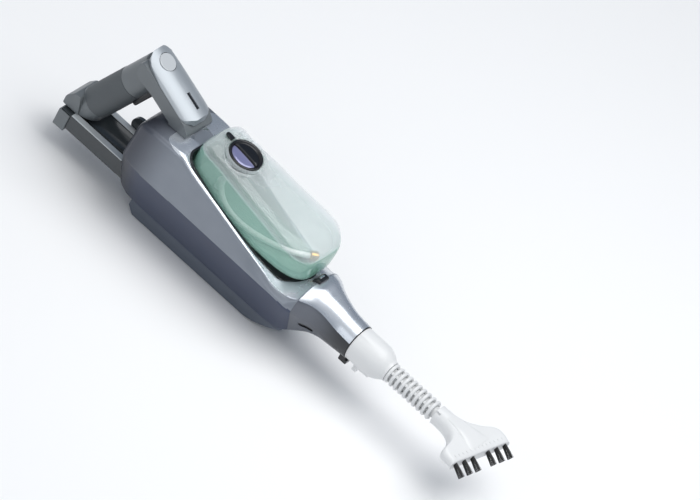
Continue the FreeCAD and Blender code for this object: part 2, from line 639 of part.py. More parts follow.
at = on_cap(-skirt)
plug_at = on_cap(-skirt - 8)
cap_rim = ring(q.cap_r, q.cap_r - 3.6, q.cap_skirt, at.x, 0, at.z, rotation=to_cap)
cap_plate = rod(q.cap_r - 3.6, q.cap_skirt - 1.6, at.x, 0, at.z, rotation=to_cap)
cap_plug = ring(q.filler_r - 0.8, q.filler_r - 3, 8, plug_at.x, 0, plug_at.z, rotation=to_cap)
fin_at = on_cap(-1.7) - Vector(cap_up.z, 0, -cap_up.x) * (q.cap_r.value - 4)
cap_fin = box(fin_at.x, -1.8, fin_at.z, (q.cap_r - 4) * 2, 3.6, 3.3, to_cap)
node(fuse(cap_rim, cap_plate, cap_plug, cap_fin), "tank_cap")
seal_at = on_cap(-skirt - 6)
node(ring(q.filler_r - 0.2, q.filler_r - 0.8, 2, seal_at.x, 0, seal_at.z, rotation=to_cap), "cap_seal")
strap_at = on_cap(-0.4) - Vector(cap_up.z, 0, -cap_up.x) * (q.cap_r.value + 8)
node(fuse(box(strap_at.x, -3, strap_at.z, 7, 6, 1.6, to_cap),
          rod(2.6, 1.8, strap_at.x, 0, strap_at.z, rotation=to_cap)), "cap_tether")

# Tank latch on the front, between the bezel and the neck.
latch = side_prism([(206.2, 85), (206.2, 90.5), (209, 93.2), (214.6, 93.2), (214.6, 85)],
                   [0.8, 1, 1.5, 2, 0.8], 7.9)
feature(latch, "tank_latch")
node(box(203.4, -7.5, 82.3, 14.6, 15, 2.3), "latch_guide")

# Seat for the tank's valve in the tray.
seat_low = q.tank_floor - 14
node(cut(rod(q.valve_r + 3.3, 12.6, q.valve_x, 0, seat_low, "z"),
         rod(q.valve_r + 0.5, 12.6, q.valve_x, 0, seat_low + 2, "z"),
         rod(2, 4, q.valve_x, 0, seat_low - 1, "z")), "tank_seat")
node(ring(q.valve_r + 0.4, 3.4, 2.4, q.valve_x, 0, seat_low + 2, "z"), "seat_seal")

# ---- outlet, nozzle, brush --------------------------------------------------------------------

node(ring(q.collar_r - 0.2, q.plug_r + 1.6, q.gasket_len, q.collar_x, 0, q.axis_z), "collar_gasket")
inlet_x = q.collar_x - q.plug_len - 9
socket = fuse(rod(q.collar_r - wall - 1.9, q.plug_len + 8.8, inlet_x, 0, q.axis_z),
              rod(q.collar_r - wall - 0.8, 5, q.collar_x - 5.2, 0, q.axis_z))
node(cut(socket, rod(q.plug_r + 0.4, q.plug_len + 6, inlet_x + 5, 0, q.axis_z),
         rod(3.1, 8, inlet_x - 1, 0, q.axis_z), box(266.7, -6.4, 24, 20, 12.8, 22)), "outlet_socket")

node(fuse(box(268, -6, 31, 7.6, 12, 10.8), box(275.6, -6, 31, 2.4, 12, 5)), "nozzle_latch")

ar, al, pr, pl = q.adaptor_r, q.adaptor_len, q.plug_r, q.plug_len
bore = q.tube_r + 0.1
ADAPTOR = [(-pl, bore), (-pl, pr - 1), (-pl + 1, pr), (-pl + 10, pr), (-pl + 10, pr - 1.2),
           (-pl + 12, pr - 1.2), (-pl + 12, pr), (0, pr), (0, ar), (al - 2, ar), (al + 4, ar - 1.5),
           (al + 9, ar - 4), (al + 13, pr), (al + 15.7, pr - 0.6), (al + 15.7, bore)]
adaptor = turned(ADAPTOR, nose_x, 0, q.axis_z)
bulge = rod(13, al - 13, nose_x + 12, 0, q.axis_z - 9.4)
lug = box(nose_x + 8, -3, q.axis_z - 30, 5, 6, 12)
bulge_cut = cut(fuse(bulge, lug), rod(ar - 1, al + 30, nose_x - 5, 0, q.axis_z))
node(fuse(adaptor, bulge_cut), "nozzle_adaptor")
node(ring(pr + 0.25, pr - 1.15, 1.9, nose_x - pl + 10.05, 0, q.axis_z), "plug_o_ring")
node(ring(q.tube_r, q.tube_r - 1.8, q.guard_len + al + 23, nose_x + 4, 0, q.axis_z), "jet_tube")

guard = doc.addObject("PartDesign::Body", "guard")


def circle_sketch(body, role, radii, gap_from=None):
    sketch = body.newObject("Sketcher::SketchObject", "circles")
    sketch.AttachmentSupport = [(origin_plane(body, role), "")]
    sketch.MapMode = "FlatFace"
    for i, size in enumerate(radii):
        size = dim(size)
        sketch.addGeometry(Part.Circle(Vector(0, 0, 0), Vector(0, 0, 1), size.value), False)
        sketch.addConstraint(Sketcher.Constraint("Coincident", i, 3, -1, 1))
        index = sketch.addConstraint(Sketcher.Constraint("Radius", i, size.value))
        sketch.setExpression("Constraints[%d]" % index, size.text)
    return sketch


core_r = q.tube_r + 0.6
first = guard.newObject("PartDesign::Pad", "spine")
first.Profile = circle_sketch(guard, "YZ_Plane", [q.guard_r - 1.9, core_r])
bind(first, Length=q.guard_len)
slots = outline_sketch(guard, "XY_Plane", [(3, 3), (q.guard_len - 3, 3), (q.guard_len - 3, 14), (3, 14)])
window = guard.newObject("PartDesign::Pocket", "window")
window.Profile = slots
window.Midplane = True
window.Length = 11
doc.recompute()
quarter = guard.newObject("PartDesign::PolarPattern", "windows")
quarter.Originals = [window]
quarter.Axis = (origin_plane(guard, "X_Axis"), [""])
quarter.Angle = 360
quarter.Occurrences = 4
guard.Tip = quarter
rib = guard.newObject("PartDesign::Pad", "rib")
rib.Profile = circle_sketch(guard, "YZ_Plane", [q.guard_r, core_r])
bind(rib, Length=3.4)
doc.recompute()
row = guard.newObject("PartDesign::LinearPattern", "ribs")
row.Originals = [rib]
row.Direction = (origin_plane(guard, "X_Axis"), [""])
bind(row, Length=q.rib_pitch * (q.rib_count - 1))
row.Occurrences = int(q.rib_count.value)
guard.Tip = row
place(guard, guard_x, 0, q.axis_z)
node(guard, "nozzle_rib_guard")

hx, hh, hd = head_x.value, q.head_half.value, q.head_deep.value
az = q.axis_z.value
HEAD = [(0, 10.6, 10.6, 0, 0), (14, 11, 10.6, 0, 0), (21, 13, 10, 0, 0.1), (28, 17.5, 9.2, 0, 0.3),
        (33, 23, 8.6, 0, 0.5), (37, 29, 8.1, 0, 0.7), (41, 0.9 * hh, hd, 0, 0.9),
        (50, hh, hd - 1, -0.8, 1), (HEAD_FACE, hh, hd - 2.9, -3.2, 1)]
HEAD_R = [9.8, 9.6, 9, 8.4, 7.8, 7.2, 6.5, 5.6, 4]
wires = []
for (dx, half, deep, drop, share), r in zip(HEAD, HEAD_R):
    pts = [(half, drop - deep), (half, drop + deep), (-half, drop + deep), (-half, drop - deep)]
    lead, side = math.sin(share * HEAD_YAW), math.cos(share * HEAD_YAW)
    wires.append(rounded(pts, [r] * 4,
                         lambda a, b, x=dx, c=lead, d=side: Vector(hx + x + a * c, a * d, az + b)))
head = Part.makeLoft(wires, True, False)
head = head.cut(Part.makeCylinder(q.tube_r.value + 0.4, 28, Vector(hx - 2, 0, az), Vector(1, 0, 0)))
for turn in (42, 222):
    notch = Part.makeBox(6, 2.8, 4, Vector(hx - 1, -1.4, 9.1))
    notch.rotate(Vector(hx, 0, 0), Vector(1, 0, 0), turn)
    notch.translate(Vector(0, 0, az))
    head = head.cut(notch)
bar_way = Vector(math.sin(HEAD_YAW), math.cos(HEAD_YAW), 0)
tuft_way = Vector(math.cos(HEAD_YAW) * math.cos(HEAD_PITCH), -math.sin(HEAD_YAW) * math.cos(HEAD_PITCH),
                  -math.sin(HEAD_PITCH))
tuft_at = [side * (TUFT_FIRST + i * q.tuft_pitch.value) for side in (-1, 1) for i in range(3)]
face_at = Vector(hx + HEAD_FACE, 0, az - 2.3)
tr = q.tuft_r.value
roots = [face_at + bar_way * y - tuft_way * 4 for y in tuft_at]
sockets = [Part.makeCylinder(tr + 0.05, 12, root, tuft_way) for root in roots]
tufts = [Part.makeCylinder(tr, q.tuft_len.value + 4, root, tuft_way) for root in roots]
feature(head.cut(Part.makeCompound(sockets)), "brush_head")
feature(Part.makeCompound(tufts), "brush_tufts")

# ---- inside the body ------------------------------------------------------------------------

bx, bz, br = dim(124), dim(43), q.boiler_r
node(cut(rod(br, q.boiler_len, bx, 0, bz), rod(br - 3, q.boiler_len - 6, bx - 1, 0, bz)), "boiler_body")
node(cut(rod(br, 4, bx - 4, 0, bz), rod(2.1, 4, bx - 4, -8, bz)), "boiler_cover")
node(rod(8, 5, bx - 9, 6, bz + 4), "boiler_thermostat")
node(rod(2.2, 18, bx + 12, 0, bz + br + 2.2), "thermal_fuse")
saddles = [cut(box(bx + dx, -14, q.base_z + wall + 0.1, 9, 28, 14), rod(br + 0.1, 9, bx + dx, 0, bz))
           for dx in (8, 44)]
node(group(*saddles), "boiler_mounts")
pump_x, pump_z = dim(26), dim(38)
node(rod(q.pump_r, 20, pump_x, 0, pump_z), "pump_body")
node(fuse(rod(q.pump_r - 4, 22, pump_x + 20, 0, pump_z),
          box(pump_x + 21, -q.pump_r - 3, pump_z - q.pump_r - 3, 19, q.pump_r * 2 + 6, q.pump_r * 2 + 6)),
     "pump_coil")
pads = [cut(box(pump_x + dx, -12, q.base_z + wall + 0.1, 5, 24, 12), rod(q.pump_r + 0.1, 5, pump_x + dx, 0, pump_z))
        for dx in (2, 12)]
node(group(*pads), "pump_mounts")
node(box(4, -22, 35, 1.6, 44, 60), "control_board")
feature(tube([(68, 0, 71.9), (68, 0, 60), (78, 0, 50), (78, 0, 38), (68.2, 0, 38)], 2.8, 1.8)[0], "feed_tube")
feature(tube([(25.8, 0, 38), (15, 0, 38), (14, 11, 38), (24, 19, 40), (50, 21, 44), (78, 19, 46),
              (98, 6, 45), (108, -8, 43), (119.8, -8, 43)], 2.0, 1.0)[0], "pressure_tube")
feature(tube([(188.1, 0, 43), (204, 0, 43), (222, 0, 60), (242.8, 0, 60)], 3.0, 1.8)[0], "steam_tube")

doc.recompute()
os.makedirs("parts", exist_ok=True)
bad = [o.Name for o in doc.Objects if {"Invalid", "Error"} & set(o.State)]
if bad:
    raise RuntimeError("objects that failed: " + ", ".join(bad))
for obj in NODES:
    if obj.Shape.isNull() or not obj.Shape.isValid():
        raise RuntimeError("bad shape: " + obj.Label)
for obj in NODES:
    obj.Shape.exportStep(os.path.join("parts", obj.Label + ".step"))
print("%d nodes" % len(NODES))
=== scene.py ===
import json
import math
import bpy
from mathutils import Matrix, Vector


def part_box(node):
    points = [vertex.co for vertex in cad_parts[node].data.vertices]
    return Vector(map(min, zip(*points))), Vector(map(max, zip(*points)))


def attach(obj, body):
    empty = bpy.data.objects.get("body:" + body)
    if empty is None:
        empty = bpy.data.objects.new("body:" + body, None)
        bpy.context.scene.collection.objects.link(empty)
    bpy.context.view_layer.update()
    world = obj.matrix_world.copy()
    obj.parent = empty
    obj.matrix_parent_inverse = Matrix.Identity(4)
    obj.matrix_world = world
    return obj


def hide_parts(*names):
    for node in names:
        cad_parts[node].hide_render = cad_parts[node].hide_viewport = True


bl_info = {
    "name": "Steam Cleaner Parts",
    "version": (1, 0, 0),
    "blender": (4, 5, 0),
    "location": "View3D > Sidebar > Cleaner",
    "description": "Dresses the packed frame of a handheld steam cleaner",
    "category": "Object",
}

import bmesh
import bpy
from bpy.props import IntProperty, PointerProperty
from mathutils import Matrix, Vector
from mathutils.bvhtree import BVHTree

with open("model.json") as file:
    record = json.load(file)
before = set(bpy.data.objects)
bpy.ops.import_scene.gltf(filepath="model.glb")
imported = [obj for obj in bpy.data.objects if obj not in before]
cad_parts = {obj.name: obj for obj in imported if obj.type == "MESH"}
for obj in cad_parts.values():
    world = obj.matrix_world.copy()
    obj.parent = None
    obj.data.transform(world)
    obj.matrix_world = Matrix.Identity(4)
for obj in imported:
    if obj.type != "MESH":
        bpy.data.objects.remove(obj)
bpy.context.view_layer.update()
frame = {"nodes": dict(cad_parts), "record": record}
BODY_OF = {n: b for b, members in frame["record"]["behaviour"]["bodies"].items() for n in members}
SLOT_OF = {s["node"]: s["material_slot"] for s in frame["record"]["subparts"]}
MID = -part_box("rear_rail")[0].x * 1000      # station 0 is the handle end of the rear rail


# ---- small helpers ---------------------------------------------------------------------

def linear(code):
    """sRGB hex to linear RGBA."""
    parts = [int(code[i:i + 2], 16) / 255 for i in (1, 3, 5)]
    return tuple(c / 12.92 if c <= 0.04045 else ((c + 0.055) / 1.055) ** 2.4 for c in parts) + (1.0,)


def add_node(tree, kind, links=(), **settings):
    """Add a node; settings set sockets by name or attributes, links are (from, to) sockets."""
    item = tree.nodes.new(kind)
    for key, value in settings.items():
        name = key.replace("_", " ")
        socket = next((s for s in item.inputs if s.name.lower() == name.lower()), None)
        if socket is not None and not hasattr(type(item), key):
            socket.default_value = value
        else:
            setattr(item, key, value)
    for source, target in links:
        tree.links.new(source, item.inputs[target])
    return item


def ramped(tree, source, low, high, start=0.0, end=1.0, **settings):
    """A value remapped from a start and end to a low and high."""
    item = add_node(tree, "ShaderNodeMapRange", [(source, "Value")], From_Min=start, From_Max=end,
                    To_Min=low, To_Max=high, **settings)
    return item.outputs["Result"]


def mixed(tree, share, first, second):
    """A colour between two; each is a hex code or a socket."""
    item = add_node(tree, "ShaderNodeMix", [(share, 0)], data_type="RGBA")
    for slot, given in ((6, first), (7, second)):
        if isinstance(given, str):
            item.inputs[slot].default_value = linear(given)
        else:
            tree.links.new(given, item.inputs[slot])
    return item.outputs[2]


def maths(tree, operation, first, second=None):
    """A Math node on two values or sockets."""
    item = add_node(tree, "ShaderNodeMath", operation=operation)
    for slot, given in ((0, first), (1, second)):
        if isinstance(given, (int, float)):
            item.inputs[slot].default_value = given
        elif given is not None:
            tree.links.new(given, item.inputs[slot])
    return item.outputs[0]


def at(x, y, z):
    """A point at body stations in millimetres, as metres in the frame."""
    return Vector(((x - MID) / 1000, y / 1000, z / 1000))


def finish(piece, nodes, body=None):
    """Make a piece ride and stand for its CAD nodes."""
    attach(piece, body or BODY_OF[nodes[0]])
    if nodes:
        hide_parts(*nodes)
    return piece


def linked(name, data):
    """A new object in the scene."""
    piece = bpy.data.objects.new(name, data)
    bpy.context.scene.collection.objects.link(piece)
    return piece


def shaded(mesh, degrees):
    """Shade a mesh smooth, with edges sharper than an angle kept."""
    mesh.shade_smooth()
    mesh.set_sharp_from_angle(angle=math.radians(degrees))


def mesh_object(name, verts, faces, materials, picks=None, sharp=35.0, weld=1e-5):
    """A smooth-shaded mesh whose normals point out, with edges sharper than an angle kept."""
    mesh = bpy.data.meshes.new(name)
    mesh.from_pydata([tuple(v) for v in verts], [], faces)
    for material in materials:
        mesh.materials.append(material)
    if picks:
        mesh.polygons.foreach_set("material_index", picks)
    work = bmesh.new()
    work.from_mesh(mesh)
    bmesh.ops.remove_doubles(work, verts=work.verts, dist=weld)
    bmesh.ops.recalc_face_normals(work, faces=work.faces)
    work.to_mesh(mesh)
    work.free()
    shaded(mesh, sharp)
    return linked(name, mesh)


def baked(piece):
    """Apply every modifier by replacing the mesh with its evaluated copy."""
    graph = bpy.context.evaluated_depsgraph_get()
    graph.update()
    mesh = bpy.data.meshes.new_from_object(piece.evaluated_get(graph))
    piece.modifiers.clear()
    piece.data = mesh
    return piece


def bevelled(piece, width, segments=3, angle=32.0):
    edge = piece.modifiers.new("edges", "BEVEL")
    edge.width, edge.segments, edge.limit_method = width / 1000, segments, "ANGLE"
    edge.angle_limit = math.radians(angle)
    edge.harden_normals = True
    return baked(piece)


def carved(piece, *cutters):
    for cutter in cutters:
        hole = piece.modifiers.new("cut", "BOOLEAN")
        hole.operation, hole.solver, hole.object = "DIFFERENCE", "EXACT", cutter
    baked(piece)
    for cutter in cutters:
        bpy.data.objects.remove(cutter)
    return piece


COPY_SHARP = 30.0       # degrees between faces that still shade as one on a copied node


def node_copy(name, node, gloss, bevel=0.0, segments=2):
    """A welded copy of a CAD node with its flats joined and its edges eased by some millimetres."""
    work = bmesh.new()
    work.from_mesh(frame["nodes"][node].data)
    bmesh.ops.remove_doubles(work, verts=work.verts, dist=2e-6)
    bmesh.ops.dissolve_limit(work, angle_limit=math.radians(0.6), verts=work.verts, edges=work.edges)
    mesh = bpy.data.meshes.new(name)
    work.to_mesh(mesh)
    work.free()
    mesh.materials.clear()
    mesh.materials.append(FINISH[gloss])
    shaded(mesh, COPY_SHARP)
    piece = linked(name, mesh)
    if bevel:
        bevelled(piece, bevel, segments, COPY_SHARP)
    return finish(piece, [node])


def round_loop(points, radii, arc_steps=6, side_steps=3):
    """A closed loop with rounded corners, always with the same number of points."""
    loop, total = [], len(points)
    ends = []
    for i in range(total):
        p = Vector(points[i]).to_2d()
        back = Vector(points[i - 1]).to_2d() - p
        ahead = Vector(points[(i + 1) % total]).to_2d() - p
        half = max((math.pi - back.angle(ahead)) / 2, 1e-4)
        reach = min(radii[i] * math.tan(half), 0.47 * min(back.length, ahead.length))
        radius = reach / math.tan(half)
        back.normalize()
        ahead.normalize()
        centre = p + (back + ahead).normalized() * (radius / math.cos(half))
        first, last = p + back * reach - centre, p + ahead * reach - centre
        sweep = first.angle_signed(last)
        ends.append([centre + Matrix.Rotation(-sweep * k / arc_steps, 2) @ first
                     for k in range(arc_steps + 1)])
    for i in range(total):
        loop += ends[i]
        a, b = ends[i][-1], ends[(i + 1) % total][0]
        loop += [a.lerp(b, k / side_steps) for k in range(1, side_steps)]
    return loop


def mirror_half(half):
    return list(half) + [(-a, b) for a, b in reversed(half)]


def blend_rows(rows, step):
    """Smoothly interpolate rows (x, numbers) every few millimetres."""
    xs = [r[0] for r in rows]
    out = []
    total = max(2, int((xs[-1] - xs[0]) / step))
    marks = sorted({round(v, 4) for v in
                    [xs[0] + (xs[-1] - xs[0]) * i / total for i in range(total + 1)] + xs})
    for x in marks:
        i = max(j for j in range(len(xs) - 1) if xs[j] <= x + 1e-9)
        span = xs[i + 1] - xs[i]
        t = (x - xs[i]) / span
        line = []
        for column in range(len(rows[0][1])):
            v = [r[1][column] for r in rows]
            def slope(j):
                if j == 0:
                    return (v[1] - v[0]) / (xs[1] - xs[0])
                if j == len(xs) - 1:
                    return (v[-1] - v[-2]) / (xs[-1] - xs[-2])
                a, b = (v[j] - v[j - 1]) / (xs[j] - xs[j - 1]), (v[j + 1] - v[j]) / (xs[j + 1] - xs[j])
                return 0.0 if a * b <= 0 else 2 * a * b / (a + b)
            m0, m1 = slope(i) * span, slope(i + 1) * span
            line.append((2 * t ** 3 - 3 * t ** 2 + 1) * v[i] + (t ** 3 - 2 * t ** 2 + t) * m0
                        + (3 * t ** 2 - 2 * t ** 3) * v[i + 1] + (t ** 3 - t ** 2) * m1)
        out.append((x, line))
    return out


def section_rows(stations, step):
    """Stations (x, half outline, radii) become many cross-section loops."""
    rows = [(x, [n for p in half for n in p] + list(radii)) for x, half, radii in stations]
    loops = []
    for x, numbers in blend_rows(rows, step):
        count = len(numbers) * 2 // 3
        half = [tuple(numbers[i:i + 2]) for i in range(0, count, 2)]
        radii = numbers[count:]
        loops.append((x, round_loop(mirror_half(half), radii + radii[::-1])))
    return loops


def tube_grid(loops, closed=True, start_cap=False, end_cap=False):
    """Verts and quads through loops of equal length."""
    verts = [p for loop in loops for p in loop]
    n = len(loops[0])
    faces = []
    for i in range(len(loops) - 1):
        for j in range(n if closed else n - 1):
            k = (j + 1) % n
            faces.append((i * n + j, i * n + k, (i + 1) * n + k, (i + 1) * n + j))
    if start_cap:
        faces.append(tuple(reversed(range(n))))
    if end_cap:
        faces.append(tuple(range(len(verts) - n, len(verts))))
    return verts, faces


def circle(axis, radius, steps):
    """Offsets in metres round a circle of a radius in millimetres about an axis."""
    across = axis.orthogonal().normalized()
    other = axis.cross(across)
    return [(across * math.cos(2 * math.pi * k / steps) + other * math.sin(2 * math.pi * k / steps))
            * radius / 1000 for k in range(steps)]


def turned(name, profile, middle, axis, gloss, steps=72):
    """A lathe shape: profile of (along, radius) in millimetres about an axis."""
    rows = [[middle + axis * along / 1000 + p for p in circle(axis, radius, steps)]
            for along, radius in profile]
    return mesh_object(name, *tube_grid(rows, start_cap=True, end_cap=True), [FINISH[gloss]])


def rod_cutter(start, end, radius):
    """A plain rod between two points, for a round hole."""
    ring = circle((end - start).normalized(), radius, 48)
    return mesh_object("cutter", *tube_grid([[start + r for r in ring], [end + r for r in ring]],
                                            start_cap=True, end_cap=True), [])


def growing_tree(name, sizes):
    """A Geometry Nodes tree with named inputs (name, kind, value); input 0 is the points."""
    tree = bpy.data.node_groups.new(name, "GeometryNodeTree")
    tree.interface.new_socket("Geometry", in_out="INPUT", socket_type="NodeSocketGeometry")
    for label, kind, value in sizes:
        socket = tree.interface.new_socket(label, in_out="INPUT", socket_type="NodeSocket" + kind)
        socket.default_value = value
    tree.interface.new_socket("Geometry", in_out="OUTPUT", socket_type="NodeSocketGeometry")
    return tree, add_node(tree, "NodeGroupInput").outputs


def end_tree(tree, instances, material):
    """Realize the instances, shade them smooth and set their finish."""
    solid = add_node(tree, "GeometryNodeRealizeInstances", [(instances, "Geometry")])
    smooth = add_node(tree, "GeometryNodeSetShadeSmooth", [(solid.outputs[0], "Geometry")])
    painted = add_node(tree, "GeometryNodeSetMaterial", [(smooth.outputs[0], "Geometry")],
                       Material=material)
    add_node(tree, "NodeGroupOutput", [(painted.outputs[0], 0)])


def grown(name, tree, points, **values):
    """Run a tree on loose points and keep the plain mesh that it makes."""
    mesh = bpy.data.meshes.new(name)
    mesh.from_pydata([tuple(p) for p in points], [], [])
    piece = linked(name, mesh)
    grow = piece.modifiers.new("grow", "NODES")
    grow.node_group = tree
    for item in tree.interface.items_tree:
        if item.in_out == "INPUT" and item.name in values:
            grow[item.identifier] = values[item.name]
    baked(piece)
    shaded(piece.data, 40)
    return piece


# ---- finishes ---------------------------------------------------------------------------

GLOSS_SPAN = 0.06       # roughness varies this much each way over a surface
DRIFT_MM = 25           # size of the slow patches of colour and gloss


def plastic(name, colour, rough, metallic=0.0, coat=0.0, grain_mm=0.6, bump=0.05, second=None,
            fade=None):
    """Moulded or painted plastic: slow colour drift, moulded grain and patchy gloss, with an optional painted
    shade that darkens one end.
    """
    material = bpy.data.materials.new(name)
    material.use_nodes = True
    tree = material.node_tree
    tree.nodes.clear()
    place = add_node(tree, "ShaderNodeTexCoord").outputs["Object"]
    drift = add_node(tree, "ShaderNodeTexNoise", [(place, "Vector")], Scale=1000 / DRIFT_MM, Detail=2.0)
    shown = mixed(tree, drift.outputs["Fac"], colour, second or colour)
    # painted shade: the colour darkens smoothly towards one end along the object's X
    if fade:
        plain, far, shade = fade
        where = add_node(tree, "ShaderNodeSeparateXYZ", [(place, "Vector")])
        ends = (0.0, 1.0) if plain < far else (1.0, 0.0)
        reach = ramped(tree, where.outputs["X"], *ends, (min(plain, far) - MID) / 1000,
                       (max(plain, far) - MID) / 1000, interpolation_type="SMOOTHSTEP")
        shown = mixed(tree, reach, shown, shade)
    fine = add_node(tree, "ShaderNodeTexNoise", [(place, "Vector")], Scale=1000 / grain_mm, Detail=3.0)
    gloss = ramped(tree, drift.outputs["Fac"], max(rough - GLOSS_SPAN, 0.02), rough + GLOSS_SPAN)
    relief = add_node(tree, "ShaderNodeBump", [(fine.outputs["Fac"], "Height")], Strength=bump,
                      Distance=0.0002)
    shader = add_node(tree, "ShaderNodeBsdfPrincipled", [
        (shown, "Base Color"), (gloss, "Roughness"), (relief.outputs["Normal"], "Normal")],
        Metallic=metallic, Coat_Weight=coat, Coat_Roughness=0.08)
    add_node(tree, "ShaderNodeOutputMaterial", [(shader.outputs[0], "Surface")])
    return material


def clear_moulding(name, face_colour, edge_colour, face, edge):
    """Clear moulded plastic: see-through where faced, milky and tinted where the wall turns away."""
    material = bpy.data.materials.new(name)
    material.use_nodes = True
    tree = material.node_tree
    tree.nodes.clear()
    place = add_node(tree, "ShaderNodeTexCoord").outputs["Object"]
    turn = add_node(tree, "ShaderNodeLayerWeight", Blend=0.42).outputs["Facing"]
    drift = add_node(tree, "ShaderNodeTexNoise", [(place, "Vector")], Scale=60.0, Detail=2.0)
    tint = mixed(tree, turn, face_colour, edge_colour)
    cover = ramped(tree, turn, face, edge)
    gloss = ramped(tree, drift.outputs["Fac"], 0.05, 0.1)
    flow = add_node(tree, "ShaderNodeBump", [(drift.outputs["Fac"], "Height")], Strength=0.12,
                    Distance=0.0008)
    shader = add_node(tree, "ShaderNodeBsdfPrincipled", [
        (tint, "Base Color"), (cover, "Alpha"), (gloss, "Roughness"),
        (flow.outputs["Normal"], "Normal")], IOR=1.58, Coat_Weight=0.6, Coat_Roughness=0.04)
    add_node(tree, "ShaderNodeOutputMaterial", [(shader.outputs[0], "Surface")])
    return material


def metal(name, colour, rough, grain_mm=0.4, bump=0.08):
    return plastic(name, colour, rough, metallic=1.0, grain_mm=grain_mm, bump=bump)


FINISH = {}


